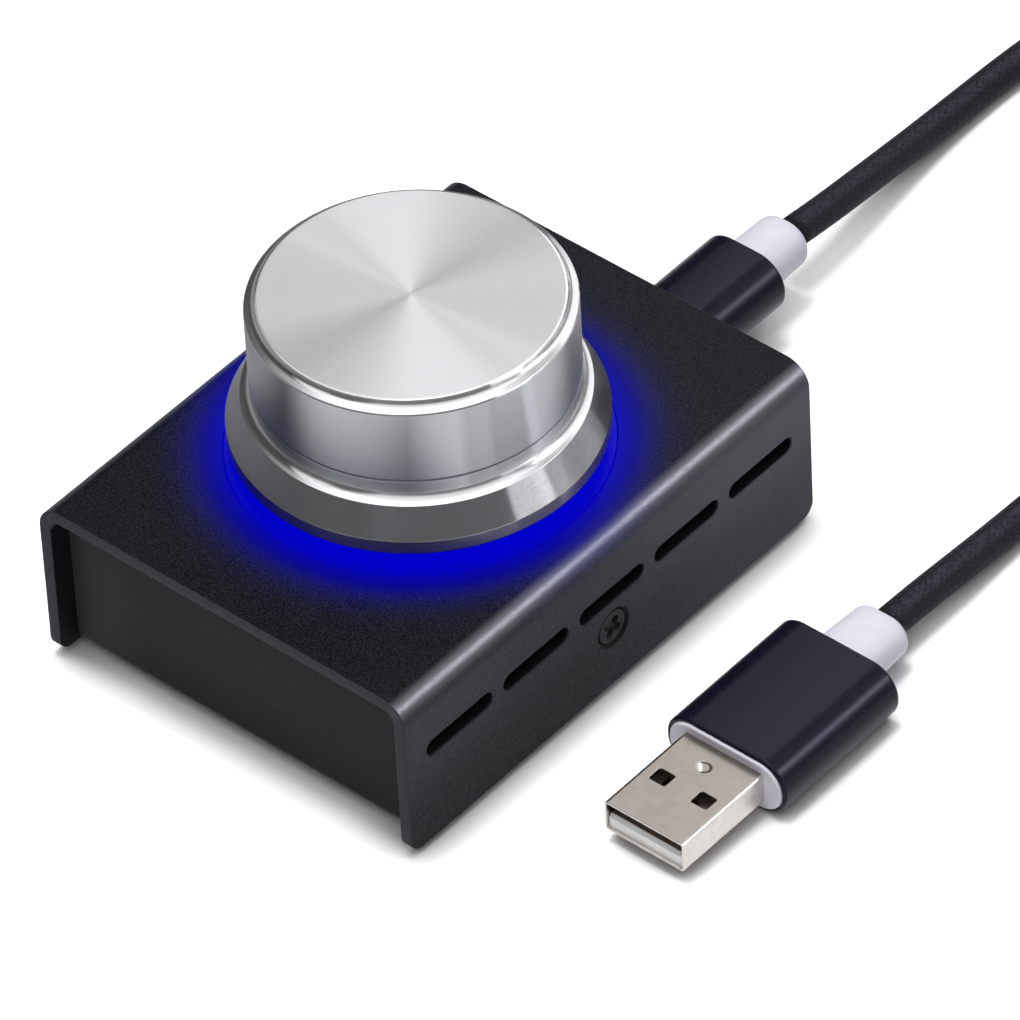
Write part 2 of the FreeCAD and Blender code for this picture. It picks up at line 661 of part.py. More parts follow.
def light_ring():
    """Clear annular disc, flush with the top of the cover."""
    inner, outer = RING_INSIDE + RING_FIT, RING_OUTSIDE - RING_FIT
    return turned(box_corners(inner, outer, LEVEL_TOP - RING_DEPTH, LEVEL_TOP), KNOB_FOOT)


# ---------------------------------------------------------------- encoder
def encoder_case():
    """Plastic case with the round chamber for the detent wheel and the switch."""
    size = (ENCODER_WIDTH, ENCODER_LENGTH, ENCODER_CASE_HEIGHT)
    chamber = upright(0, KNOB_Y, LEVEL_DOME, LEVEL_CASE_TOP + 1, ENCODER_CAVITY)
    return block(0, KNOB_Y, LEVEL_UPPER_TOP, size).cut(chamber)


def encoder_bracket():
    """Metal lid of the encoder, with its threaded bushing and two legs through the board."""
    lid = block(0, KNOB_Y, LEVEL_CASE_TOP, (ENCODER_WIDTH, ENCODER_LENGTH, ENCODER_PLATE))
    parts = [upright(0, KNOB_Y, LEVEL_CEILING, LEVEL_BUSHING_TOP, BUSHING_RADIUS)]
    bottom = LEVEL_UPPER - PIN_TAIL
    leg = (BRACKET_LEG[0], BRACKET_LEG[1], LEVEL_CEILING - bottom)
    parts += [block(x, y, bottom, leg) for x, y in leg_sites()]
    bore = upright(0, KNOB_Y, LEVEL_CASE_TOP - 1, LEVEL_BUSHING_TOP + 1, SHAFT_RADIUS + SHAFT_RUNNING_FIT)
    return lid.fuse(parts).cut(bore)


def encoder_pins():
    """Five contact pins on the sides of the case, soldered into the upper board."""
    bottom = LEVEL_UPPER - PIN_TAIL
    size = (PIN_SIZE[0], PIN_SIZE[1], LEVEL_UPPER_TOP + PIN_RISE - bottom)
    return Part.makeCompound([block(x, y, bottom, size) for x, y in pin_sites()])


def encoder_washer():
    """Flat washer on top of the cover."""
    inner = BUSHING_RADIUS + HOLE_FIT
    return turned(box_corners(inner, WASHER_RADIUS, LEVEL_TOP, LEVEL_TOP + WASHER_HEIGHT), KNOB_FOOT)


def encoder_nut():
    """Hexagon nut that clamps the encoder to the cover, chamfered on top."""
    low = LEVEL_TOP + WASHER_HEIGHT
    high = low + NUT_HEIGHT
    corner = NUT_FLATS / math.sqrt(3)
    hexagon = [(corner * math.cos(math.radians(60 * i)), KNOB_Y + corner * math.sin(math.radians(60 * i)))
               for i in range(6)]
    blank = [(0, low), (corner, low), (corner, high - NUT_CHAMFER), (corner - 2 * NUT_CHAMFER, high), (0, high)]
    nut = prism(hexagon, "xy", low, high).common(turned(blank, KNOB_FOOT))
    return nut.cut(upright(0, KNOB_Y, low - 1, high + 1, BUSHING_RADIUS + THREAD_FIT))


def detent_spring():
    """Leaf spring along the chamber's wall, with a bead that stands just clear of the wheel's crests."""
    outer = ENCODER_CAVITY - SPRING_WALL_GAP
    inner = outer - SPRING_SHEET
    low = LEVEL_SHAFT + DETENT_WHEEL_RISE
    high = low + DETENT_WHEEL_HEIGHT
    leaf = turned(box_corners(inner, outer, low, high), KNOB_FOOT, SPRING_SWEEP)
    leaf.rotate(KNOB_FOOT, UP, 90 - SPRING_SWEEP / 2)
    centre = DETENT_WHEEL_RADIUS + DETENT_PLAY + DETENT_BEAD
    bead = upright(0, KNOB_Y + centre, low, high, DETENT_BEAD)
    return leaf.fuse(bead).removeSplitter()


def detent_wheel():
    """Wheel fixed to the shaft, with one notch for each step that the hand feels."""
    low = LEVEL_SHAFT + DETENT_WHEEL_RISE
    high = low + DETENT_WHEEL_HEIGHT
    notch = upright(0, KNOB_Y + DETENT_WHEEL_RADIUS, low - 1, high + 1, DETENT_NOTCH)
    wheel = upright(0, KNOB_Y, low, high, DETENT_WHEEL_RADIUS)
    bore = upright(0, KNOB_Y, low - 1, high + 1, SHAFT_RADIUS + THREAD_FIT)
    return wheel.cut(around_knob(notch, DETENT_COUNT) + [bore])


def switch_dome():
    """Snap dome of spring steel that returns the pushed knob."""
    sphere = (DOME_RADIUS ** 2 + DOME_HEIGHT ** 2) / (2 * DOME_HEIGHT)
    centre = Vector(0, KNOB_Y, LEVEL_DOME + DOME_HEIGHT - sphere)
    shell = Part.makeSphere(sphere, centre).cut(Part.makeSphere(sphere - DOME_SHEET, centre))
    return shell.common(upright(0, KNOB_Y, LEVEL_DOME, LEVEL_PLUNGER + 1, DOME_RADIUS + 1))


def switch_plunger():
    """Button between the dome and the end of the shaft; it slides and doesn't turn."""
    return upright(0, KNOB_Y, LEVEL_PLUNGER, LEVEL_SHAFT, PLUNGER_RADIUS)


def shaft_blank(radius, flat, z0, z1):
    """Round bar with one flat on its right-hand side."""
    bar = upright(0, KNOB_Y, z0, z1, radius)
    size = 2 * radius
    offcut = prism(box_corners(flat, flat + size, KNOB_Y - size, KNOB_Y + size), "xy", z0, z1)
    return bar.cut(offcut)


def encoder_shaft():
    """Shaft: round in its bushing, with a flat where the knob grips it."""
    flat_start = LEVEL_SHAFT_TOP - SHAFT_FLAT_LENGTH
    lower = upright(0, KNOB_Y, LEVEL_SHAFT, flat_start, SHAFT_RADIUS)
    return lower.fuse(shaft_blank(SHAFT_RADIUS, SHAFT_FLAT, flat_start, LEVEL_SHAFT_TOP))


# ---------------------------------------------------------------- knob
def knob_shell():
    """Turned aluminium knob: flat face, rounded lip, plain wall with a fine groove, shoulder and flared rim."""
    base = LEVEL_TOP + KNOB_LIFT
    top = LEVEL_TOP + KNOB_RISE
    shoulder = LEVEL_TOP + SHOULDER_RISE
    groove = LEVEL_TOP + GROOVE_RISE
    profile = [
        (KNOB_BORE, base, BORE_EDGE),
        (RIM_RADIUS, base, RIM_EDGE),
        (RIM_RADIUS, base + RIM_HEIGHT, RIM_EDGE),
        (SHOULDER_RADIUS, shoulder, SHOULDER_ROUND),
        (NECK_RADIUS, shoulder, NECK_ROUND),
        (NECK_RADIUS, groove - GROOVE_WIDTH / 2),
        (NECK_RADIUS - GROOVE_DEPTH, groove),
        (NECK_RADIUS, groove + GROOVE_WIDTH / 2),
        (NECK_RADIUS, top - FACE_DROP, FACE_ROUND),
        (FACE_RADIUS, top, FACE_LIP),
        (0, top),
        (0, LEVEL_CROWN),
        (KNOB_BORE, LEVEL_CROWN),
    ]
    return turned(profile, KNOB_FOOT)


def knob_insert():
    """Ribbed plastic core pressed into the shell, with the flatted bore for the shaft."""
    outer = KNOB_BORE - INSERT_FIT
    inner = outer - INSERT_RIM_WALL
    web = LEVEL_CROWN - INSERT_WEB
    rim_foot = LEVEL_TOP + INSERT_RIM_RISE
    hub_foot = LEVEL_BUSHING_TOP + PRESS_TRAVEL + INSERT_HUB_GAP
    cup = turned([
        (0, web), (inner, web), (inner, rim_foot), (outer, rim_foot), (outer, LEVEL_CROWN), (0, LEVEL_CROWN),
    ], KNOB_FOOT)
    hub = upright(0, KNOB_Y, hub_foot, web, INSERT_HUB_RADIUS)
    reach = inner - INSERT_HUB_RADIUS + 1
    rib = block(INSERT_HUB_RADIUS + reach / 2 - 0.5, KNOB_Y, LEVEL_TOP + INSERT_RIB_RISE,
                (reach, INSERT_RIB_WALL, web - LEVEL_TOP - INSERT_RIB_RISE))
    core = cup.fuse([hub] + around_knob(rib, INSERT_RIB_COUNT))
    flat_start = LEVEL_SHAFT_TOP - SHAFT_FLAT_LENGTH + INSERT_SHAFT_HEADROOM
    radius = SHAFT_RADIUS + INSERT_FIT
    bore_top = LEVEL_SHAFT_TOP + INSERT_SHAFT_HEADROOM
    bore = upright(0, KNOB_Y, hub_foot - 1, flat_start, radius)
    bore = bore.fuse(shaft_blank(radius, SHAFT_FLAT + INSERT_FIT, flat_start, bore_top))
    return core.cut(bore).removeSplitter()


# ---------------------------------------------------------------- lead: plugs
def sleeve(x, z, width, height, corner, start, end):
    """Metal tube round a plug, with softened ends."""
    outer = prism(centred_corners(x, z, width, height, corner), "xz", start, end)
    rims = [edge for edge in outer.Edges if edge.BoundBox.YLength < 1e-6]
    outer = outer.makeFillet(SLEEVE_EDGE, rims)
    inside = centred_corners(x, z, width - 2 * SLEEVE_WALL, height - 2 * SLEEVE_WALL, corner - SLEEVE_WALL)
    return outer.cut(prism(inside, "xz", start - 1, end + 1))


def moulding(x, z, width, height, corner, start, end, relief, reach):
    """Soft white body inside a sleeve, ending in an oval strain relief that tapers towards the cord."""
    play = SLEEVE_WALL + MOULD_FIT
    body = prism(centred_corners(x, z, width - 2 * play, height - 2 * play, corner - play), "xz", start, end)
    ovals = []
    for y, scale in ((end, 1.0), (end + reach, RELIEF_TAPER)):
        wide, high = relief[0] * scale, relief[1] * scale
        oval = centred_corners(x, z, wide, high, min(wide, high) * 0.48)
        ovals.append(outline(oval, "xz", y))
    tail = Part.makeLoft(ovals, True)
    rim = [edge for edge in tail.Edges if abs(edge.CenterOfMass.y - end - reach) < 1e-3
           and edge.BoundBox.YLength < 1e-3]
    return body.fuse(tail.makeFillet(RELIEF_ROUND, rim))


def rear_plug_sleeve():
    """Black aluminium tube of the plug at the box."""
    return sleeve(0, LEVEL_SOCKET, REAR_SLEEVE_WIDTH, REAR_SLEEVE_HEIGHT, REAR_SLEEVE_CORNER,
                  REAR_SLEEVE_START, REAR_SLEEVE_END)


def rear_plug_body():
    """White moulding of the plug at the box, with the slot that holds the metal tip."""
    body = moulding(0, LEVEL_SOCKET, REAR_SLEEVE_WIDTH, REAR_SLEEVE_HEIGHT, REAR_SLEEVE_CORNER,
                    REAR_SLEEVE_START, REAR_SLEEVE_END, (REAR_RELIEF_WIDTH, REAR_RELIEF_HEIGHT),
                    REAR_RELIEF_LENGTH)
    pocket = slanted_corners(TIP_WIDTH + 2 * MOULD_FIT, TIP_HEIGHT + 2 * MOULD_FIT, TIP_SLANT, LEVEL_SOCKET)
    return body.cut(prism(pocket, "xz", REAR_SLEEVE_START - 1, REAR_SLEEVE_START + TIP_ROOT))


def rear_plug_tip():
    """Folded steel tip of the plug at the box, in the micro USB socket."""
    start, end = PANEL_REAR - TIP_REACH, REAR_SLEEVE_START + TIP_ROOT
    outer = prism(slanted_corners(TIP_WIDTH, TIP_HEIGHT, TIP_SLANT, LEVEL_SOCKET), "xz", start, end)
    inner = slanted_corners(TIP_WIDTH - 2 * TIP_WALL, TIP_HEIGHT - 2 * TIP_WALL, TIP_SLANT - TIP_WALL / 2,
                            LEVEL_SOCKET)
    return outer.cut(prism(inner, "xz", start - 1, end + 1))


def plug_sleeve():
    """Black aluminium tube of the plug at the computer end."""
    return sleeve(PLUG_X, LEVEL_PLUG, PLUG_SLEEVE_WIDTH, PLUG_SLEEVE_HEIGHT, PLUG_SLEEVE_CORNER,
                  PLUG_SLEEVE_START, PLUG_SLEEVE_END)


def plug_body():
    """White moulding of the plug at the computer end, with the slot that holds the shell."""
    body = moulding(PLUG_X, LEVEL_PLUG, PLUG_SLEEVE_WIDTH, PLUG_SLEEVE_HEIGHT, PLUG_SLEEVE_CORNER,
                    PLUG_MOULD_START, PLUG_SLEEVE_END, (PLUG_RELIEF_WIDTH, PLUG_RELIEF_HEIGHT),
                    PLUG_RELIEF_LENGTH)
    pocket = centred_corners(PLUG_X, LEVEL_PLUG, PLUG_WIDTH + 2 * MOULD_FIT, PLUG_HEIGHT + 2 * MOULD_FIT,
                             PLUG_CORNER)
    return body.cut(prism(pocket, "xz", PLUG_MOULD_START - 1, PLUG_MOULD_START + PLUG_ROOT))


def plug_shell():
    """Folded steel shell of the plug, open at its mouth, with two windows above and two below."""
    end = PLUG_MOULD_START + PLUG_ROOT
    outer = prism(centred_corners(PLUG_X, LEVEL_PLUG, PLUG_WIDTH, PLUG_HEIGHT, PLUG_CORNER),
                  "xz", PLUG_FRONT_Y, end)
    inner = centred_corners(PLUG_X, LEVEL_PLUG, PLUG_WIDTH - 2 * PLUG_WALL, PLUG_HEIGHT - 2 * PLUG_WALL,
                            PLUG_CORNER / 2)
    cuts = [prism(inner, "xz", PLUG_FRONT_Y - 1, end + 1)]
    for side in (-1, 1):
        window = centred_corners(PLUG_X + side * WINDOW_SPACING / 2, PLUG_FRONT_Y + WINDOW_SETBACK,
                                 WINDOW_WIDTH, WINDOW_LENGTH, PLUG_WALL)
        cuts.append(prism(window, "xy", -1, PLUG_SLEEVE_HEIGHT + 1))
    return outer.cut(cuts)


def tongue_top():
    """Level of the tongue's upper face: it lies on the floor of the shell."""
    return LEVEL_PLUG - PLUG_HEIGHT / 2 + PLUG_WALL + TONGUE_HEIGHT


def plug_tongue():
    """White plastic tongue along the floor of the shell, bevelled at its front."""
    low = tongue_top() - TONGUE_HEIGHT
    front = PLUG_FRONT_Y + TONGUE_SETBACK
    end = PLUG_MOULD_START + PLUG_ROOT
    half = PLUG_WIDTH / 2 - PLUG_WALL - TONGUE_FIT
    side_view = [
        (front, low), (end, low), (end, tongue_top()),
        (front + TONGUE_SETBACK, tongue_top()), (front, tongue_top() - TONGUE_SETBACK),
    ]
    return prism(side_view, "yz", PLUG_X - half, PLUG_X + half)


def plug_contacts():
    """Four gilt contact strips on the tongue; the two outer ones are longer."""
    start = PLUG_FRONT_Y + TONGUE_SETBACK + CONTACT_SETBACK
    return Part.makeCompound([
        block(PLUG_X + x, start + length / 2, tongue_top(), (CONTACT_WIDTH, length, CONTACT_HEIGHT))
        for x, length in CONTACTS])


# ---------------------------------------------------------------- lead: cord
def cord_path(name, route):
    """Straight runs joined by tangent arcs, each as large as its two runs allow; prints the arcs' radii."""
    spots = [Vector(*point) for point in route]
    here = spots[0]
    edges, radii = [], []
    for before, spot, after in zip(spots, spots[1:], spots[2:]):
        back = before - spot
        ahead = after - spot
        reach = 0.45 * min(back.Length, ahead.Length)
        half_turn = (math.pi - back.getAngle(ahead)) / 2
        radius = reach / math.tan(half_turn)
        back.normalize()
        ahead.normalize()
        start, end = spot + back * reach, spot + ahead * reach
        inward = (back + ahead).normalize()
        middle = spot + inward * (radius / math.cos(half_turn) - radius)
        edges.append(Part.LineSegment(here, start).toShape())
        edges.append(Part.Arc(start, middle, end).toShape())
        radii.append(radius)
        here = end
    edges.append(Part.LineSegment(here, spots[-1]).toShape())
    print(name, "arc radii in mm:", ", ".join("%.0f" % radius for radius in radii))
    return Part.Wire(edges)


def cord_tube(name, route):
    """Round cord swept along its route; prints its length and how well its volume agrees with it."""
    path = cord_path(name, route)
    first = Vector(*route[0])
    direction = Vector(*route[1]) - first
    ring = Part.Circle(first, direction, CORD_DIAMETER / 2).toShape()
    sweep = Part.BRepOffsetAPI.MakePipeShell(path)
    sweep.add(Part.Wire(ring))
    sweep.build()
    sweep.makeSolid()
    tube = sweep.shape()
    volume = math.pi * (CORD_DIAMETER / 2) ** 2 * path.Length
    print(name, "length %.1f mm, volume over section times length %.4f" % (path.Length, tube.Volume / volume))
    return tube


def coil_limits():
    """Inner radius, outer radius, bottom and top of the ring that two layers of turns fill."""
    reach = CORD_DIAMETER / 2 + COIL_SKIN
    return (COIL_INNER_TURN - reach, COIL_OUTER_TURN + reach,
            LEVEL_COIL - reach, LEVEL_COIL + COIL_LAYER + reach)


def cord_coil():
    """Outer shape of the coil of spare cord, with the two straight ends that leave it."""
    centre = Vector(COIL_CENTRE_X, COIL_CENTRE_Y, 0)
    ring = turned(box_corners(*coil_limits()), centre)
    leads = []
    for side, level in ((-1, LEVEL_COIL), (1, LEVEL_COIL + COIL_LAYER)):
        start = Vector(COIL_CENTRE_X + side * COIL_OUTER_TURN, COIL_START_Y, level)
        leads.append(Part.makeCylinder(CORD_DIAMETER / 2, COIL_LEAD, start, BACK))
    return ring.fuse(leads)


def cord_tie():
    """Strap round the coil on the side away from the box."""
    centre = Vector(COIL_CENTRE_X, COIL_CENTRE_Y, 0)
    inner, outer, low, high = coil_limits()
    inner, outer = inner - TIE_FIT, outer + TIE_FIT
    edge = box_corners(inner - TIE_WALL, outer + TIE_WALL, low - TIE_WALL, high + TIE_WALL)
    strap = turned(edge, centre, TIE_SWEEP).cut(turned(box_corners(inner, outer, low, high), centre, TIE_SWEEP))
    strap.rotate(centre, UP, 90 - TIE_SWEEP / 2)
    return strap


# ---------------------------------------------------------------- all pieces
PIECES = {
    "top_cover": top_cover,
    "base_tray": base_tray,
    "side_screws": side_screws,
    "rubber_feet": rubber_feet,
    "main_board": main_board,
    "board_standoffs": board_standoffs,
    "board_screws": board_screws,
    "usb_socket": usb_socket,
    "controller_chip": controller_chip,
    "crystal": crystal,
    "capacitors": capacitors,
    "header_socket": header_socket,
    "header_pins": header_pins,
    "upper_board": upper_board,
    "ring_lights": ring_lights,
    "light_ring": light_ring,
    "encoder_case": encoder_case,
    "encoder_bracket": encoder_bracket,
    "encoder_pins": encoder_pins,
    "encoder_washer": encoder_washer,
    "encoder_nut": encoder_nut,
    "detent_spring": detent_spring,
    "switch_dome": switch_dome,
    "switch_plunger": switch_plunger,
    "encoder_shaft": encoder_shaft,
    "detent_wheel": detent_wheel,
    "knob_shell": knob_shell,
    "knob_insert": knob_insert,
    "rear_plug_tip": rear_plug_tip,
    "rear_plug_body": rear_plug_body,
    "rear_plug_sleeve": rear_plug_sleeve,
    "cord_rear": lambda: cord_tube("rear cord", REAR_ROUTE),
    "cord_coil": cord_coil,
    "cord_tie": cord_tie,
    "cord_front": lambda: cord_tube("front cord", PLUG_ROUTE),
    "plug_shell": plug_shell,
    "plug_tongue": plug_tongue,
    "plug_contacts": plug_contacts,
    "plug_body": plug_body,
    "plug_sleeve": plug_sleeve,
}

os.makedirs("parts", exist_ok=True)
for name, make in PIECES.items():
    make().exportStep("parts/" + name + ".step")
print(len(PIECES), "pieces written")
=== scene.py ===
import math

import bmesh
import bpy
import numpy as np
from mathutils import Matrix, Vector


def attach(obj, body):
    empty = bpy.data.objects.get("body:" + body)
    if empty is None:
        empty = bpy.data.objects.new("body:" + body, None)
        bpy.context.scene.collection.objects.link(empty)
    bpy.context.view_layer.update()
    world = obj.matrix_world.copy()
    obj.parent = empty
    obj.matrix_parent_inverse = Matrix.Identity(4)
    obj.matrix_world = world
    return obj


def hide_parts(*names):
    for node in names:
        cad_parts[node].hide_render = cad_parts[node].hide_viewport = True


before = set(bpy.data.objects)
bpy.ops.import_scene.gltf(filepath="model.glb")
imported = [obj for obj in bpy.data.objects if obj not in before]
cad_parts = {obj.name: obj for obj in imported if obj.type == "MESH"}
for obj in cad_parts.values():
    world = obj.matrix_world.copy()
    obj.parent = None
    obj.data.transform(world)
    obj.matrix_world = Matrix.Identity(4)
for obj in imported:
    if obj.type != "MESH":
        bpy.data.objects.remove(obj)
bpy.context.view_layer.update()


# ------------------------ viewpoint
# A long lens looks down on the front right of the box, and is turned a few degrees about its own axis.
# Sizes are in millimetres; the focal length is the one for 36 mm film.
VIEW_AZIMUTH = math.radians(42.54)
VIEW_ELEVATION = math.radians(43.16)
VIEW_ROLL = math.radians(-3.24)
VIEW_STAND = (9.046, 9.008, 1264.7)     # to the camera's right, upwards and back
VIEW_LENS = 371.86
FILM_WIDTH = 36.0


def added(name, data):
    """A new object in the scene."""
    item = bpy.data.objects.new(name, data)
    bpy.context.scene.collection.objects.link(item)
    return item


lens = bpy.data.cameras.new("viewpoint")
lens.lens = VIEW_LENS
lens.sensor_width = FILM_WIDTH
lens.clip_start = 0.1
lens.clip_end = 20.0
viewpoint = added("viewpoint", lens)
viewpoint.matrix_world = (Matrix.Rotation(VIEW_AZIMUTH, 4, "Z")
                          @ Matrix.Rotation(math.pi / 2 - VIEW_ELEVATION, 4, "X")
                          @ Matrix.Rotation(VIEW_ROLL, 4, "Z")
                          @ Matrix.Translation(Vector(VIEW_STAND) / 1000))
bpy.context.scene.camera = viewpoint


# ------------------------ tray
# The floor of the box with its front and rear panels, folded from 1.2 mm aluminium sheet.
# It is bead-blasted and anodised black, and the cover is screwed to its two side tabs.
def operator(operation):
    """A method of Value that takes it and another value or number through one Math node."""
    return lambda value, other=0.0: value.math(operation, value, other)


class Value:
    """A number or colour on its way through a material; a sum on it adds a Math node."""

    def __init__(self, finish, socket):
        self.finish = finish
        self.socket = socket

    def math(self, operation, first, second):
        return self.finish.node("ShaderNodeMath", {"operation": operation}, {0: first, 1: second})

    def __rsub__(self, other):
        return self.math("SUBTRACT", other, self)

    __add__ = __radd__ = operator("ADD")
    __mul__ = __rmul__ = operator("MULTIPLY")
    __sub__ = operator("SUBTRACT")
    __truediv__ = operator("DIVIDE")
    __pow__ = operator("POWER")
    __mod__ = operator("FLOORED_MODULO")
    __gt__ = operator("GREATER_THAN")
    __lt__ = operator("LESS_THAN")
    __abs__ = operator("ABSOLUTE")
    exponential = operator("EXPONENT")
    least = operator("MINIMUM")
    most = operator("MAXIMUM")


class Finish:
    """One finish: a Principled shader with plain numbers, and the nodes that vary it over the surface."""

    def __init__(self, name, numbers):
        self.material = bpy.data.materials.new(name)
        self.material.use_nodes = True
        self.tree = self.material.node_tree
        self.shader = self.tree.nodes["Principled BSDF"]
        self.feed(self.shader, numbers)

    def feed(self, node, sockets):
        """Links values to a node's sockets, and sets numbers and colours on them."""
        for key, value in sockets.items():
            if isinstance(value, Value):
                self.tree.links.new(value.socket, node.inputs[key])
            else:
                node.inputs[key].default_value = value

    def node(self, kind, settings, sockets, output=0):
        """Adds a node: first its settings, then the values or links of its sockets."""
        made = self.tree.nodes.new(kind)
        for key, value in settings.items():
            setattr(made, key, value)
        self.feed(made, sockets)
        return Value(self, made.outputs[output])

    def place(self):
        """Object coordinates in millimetres."""
        metres = self.node("ShaderNodeTexCoord", {}, {}, "Object")
        return self.node("ShaderNodeVectorMath", {"operation": "SCALE"}, {0: metres, "Scale": 1000.0})

    def parts(self, vector):
        """The three numbers of a vector."""
        return [self.node("ShaderNodeSeparateXYZ", {}, {0: vector}, i) for i in range(3)]

    def axes(self):
        """The three object coordinates in millimetres."""
        return self.parts(self.place())

    def noise(self, size, detail=2.0, stretch=(1.0, 1.0, 1.0), where=None):
        """Smooth noise from 0 to 1 with features of that size in millimetres, drawn out along an axis by
        stretch; it runs on object coordinates unless another vector is given."""
        near = self.node("ShaderNodeVectorMath", {"operation": "DIVIDE"},
                         {0: where or self.place(), 1: stretch})
        return self.node("ShaderNodeTexNoise", {}, {"Vector": near, "Scale": 1.0 / size, "Detail": detail})

    def mix(self, share, first, second):
        """Two colours mixed by a share from 0 to 1."""
        return self.node("ShaderNodeMix", {"data_type": "RGBA"}, {0: share, 6: first, 7: second}, 2)

    def between(self, value, low, high, start=0.0, end=1.0):
        """Value carried smoothly from the range low to high into the range start to end, and held there."""
        return self.node("ShaderNodeMapRange", {"interpolation_type": "SMOOTHSTEP"},
                         {0: value, 1: low, 2: high, 3: start, 4: end})

    def bump(self, height):
        """Normal of a surface raised by height in millimetres."""
        return self.node("ShaderNodeBump", {}, {"Strength": 1.0, "Distance": 0.001, "Height": height})

    def use(self, sockets):
        self.feed(self.shader, sockets)
        return self.material


def ink(red, green, blue):
    """Colour of light from the three screen values from 0 to 255."""
    linear = [c / 255 / 12.92 if c <= 10 else ((c / 255 + 0.055) / 1.055) ** 2.4 for c in (red, green, blue)]
    return (*linear, 1.0)


def wear(material, *nodes):
    """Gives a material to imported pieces."""
    for name in nodes:
        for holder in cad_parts[name].material_slots:
            holder.material = material


BLACK_DEEP = ink(29, 29, 32)
BLACK_GRAIN = ink(42, 43, 48)
PANEL_PAINTED_LIGHT = ink(61, 61, 65)


def black_anodised(name):
    """Bead-blasted black sheet, and the share of pale grain in its colour: fine even grain in colour, gloss
    and height over faint large clouds."""
    finish = Finish(name, {"Specular IOR Level": 0.1, "IOR": 1.45})
    grain = finish.noise(0.22, 1.0)
    cloud = finish.noise(9.0)
    finish.use({"Roughness": 0.36 + grain * 0.2 + cloud * 0.06, "Normal": finish.bump(grain * 0.016)})
    return finish, finish.between(grain * 0.94 + cloud * 0.06, 0.38, 0.64)


tray, tray_grain = black_anodised("blasted_black_tray")
# painted light: the panels are paler towards the left wall of the cover, to offset the shade that wall casts
# on them
tray_painted_light = tray.between(tray.axes()[0], -27.0, -14.0, 1.0, 0.0)
tray_black = tray.mix(tray_grain, BLACK_DEEP, BLACK_GRAIN)
wear(tray.use({"Base Color": tray.mix(tray_painted_light, tray_black, PANEL_PAINTED_LIGHT)}), "base_tray")


# ------------------------ feet
# Four round feet of matt black rubber, 1 mm thick.
# They stick to the underside of the tray, near its corners.
def moulded(name, dark, pale, rough, grain_size=0.3, depth=0.01, spread=0.12, gloss=0.45):
    """Moulded rubber or plastic with a fine spark-eroded grain, rough by half the spread to either side."""
    finish = Finish(name, {"Specular IOR Level": gloss})
    grain = finish.noise(grain_size, 3.0)
    return finish.use({"Base Color": finish.mix(grain, dark, pale),
                       "Roughness": rough + grain * spread - spread / 2,
                       "Normal": finish.bump(grain * depth)})


wear(moulded("foot_rubber", ink(22, 22, 23), ink(46, 46, 48), 0.82, 0.35, 0.02, 0.2, 0.3), "rubber_feet")


# ------------------------ main board
# A green circuit board on four brass standoffs, with its chip, crystal, capacitors, header and micro USB
# socket. Every part of it is carried over from the frame, and gets the finish of the real part.
TRACE_PITCHES = (2.2, 3.1)
TRACE_SWAYS = (5.0, 7.0)
CAN_RIM = 12.2              # level above which a capacitor's can is bare


def circuit_board(name):
    """Green solder mask over copper traces: straight runs in both directions show as paler lines."""
    finish = Finish(name, {"Coat Roughness": 0.12})
    wander = finish.noise(6.0, 0.0)
    first, second = [abs((axis + wander * sway) % pitch - pitch / 2)
                     for axis, sway, pitch in zip(finish.axes(), TRACE_SWAYS, TRACE_PITCHES)]
    trace = finish.between(first.least(second), 0.16, 0.24, 1.0, 0.0)
    weave = finish.noise(0.4)
    return finish.use({
        "Base Color": finish.mix(trace * 0.8, ink(18, 74, 44), ink(46, 122, 70)),
        "Roughness": 0.34 + weave * 0.14,
        "Coat Weight": 0.3 + trace * 0.2,
        "Normal": finish.bump(trace * 0.02 + weave * 0.006)})


def metal(name, dull, bright, rough, grain_size, stretch=(1.0, 1.0, 1.0)):
    """Bare or plated metal: colour and gloss vary with a fine grain, which a stretch draws into lines."""
    finish = Finish(name, {"Metallic": 1.0})
    grain = finish.noise(grain_size, 3.0, stretch)
    return finish.use({"Base Color": finish.mix(finish.between(grain, 0.3, 0.7), dull, bright),
                       "Roughness": rough + grain * 0.16 - 0.08,
                       "Normal": finish.bump(grain * 0.004)})


wear(circuit_board("solder_mask"), "main_board", "upper_board")
wear(metal("standoff_brass", ink(176, 140, 70), ink(214, 182, 104), 0.3, 0.3), "board_standoffs")
wear(metal("screw_steel", ink(74, 74, 78), ink(120, 120, 126), 0.34, 0.12), "board_screws")
wear(metal("tinned_steel", ink(176, 176, 180), ink(212, 212, 214), 0.26, 0.25, (1.0, 6.0, 1.0)),
     "usb_socket", "crystal", "encoder_bracket", "encoder_pins", "encoder_washer", "encoder_nut")
wear(moulded("chip_epoxy", ink(26, 26, 28), ink(48, 48, 51), 0.55, 0.15), "controller_chip")
wear(moulded("header_plastic", ink(20, 20, 22), ink(36, 36, 38), 0.4), "header_socket")
wear(metal("contact_gilt", ink(206, 162, 74), ink(240, 204, 120), 0.22, 0.2), "header_pins")

can = Finish("capacitor_sleeve", {})
can_top = can.axes()[2] > CAN_RIM
can_speck = can.noise(0.3)
can_blue = can.mix(can_speck, ink(24, 28, 58), ink(38, 42, 78))
wear(can.use({"Base Color": can.mix(can_top, can_blue, ink(198, 198, 200)),
              "Metallic": can_top * 0.9,
              "Roughness": 0.3 + can_speck * 0.1}), "capacitors")


# ------------------------ upper board
# A square circuit board hung from the cover by the encoder, with eight blue light-emitting diodes soldered
# on it. The diodes stand round the encoder, and shine up through the holes in the cover.
DIODE_GLOW = ink(3, 4, 70)
DIODE_HAZE = (0.0, 0.0, 0.01, 1.0)
DIODE_WINDOW = (17.9, 18.15)        # levels over which the body gives way to the window

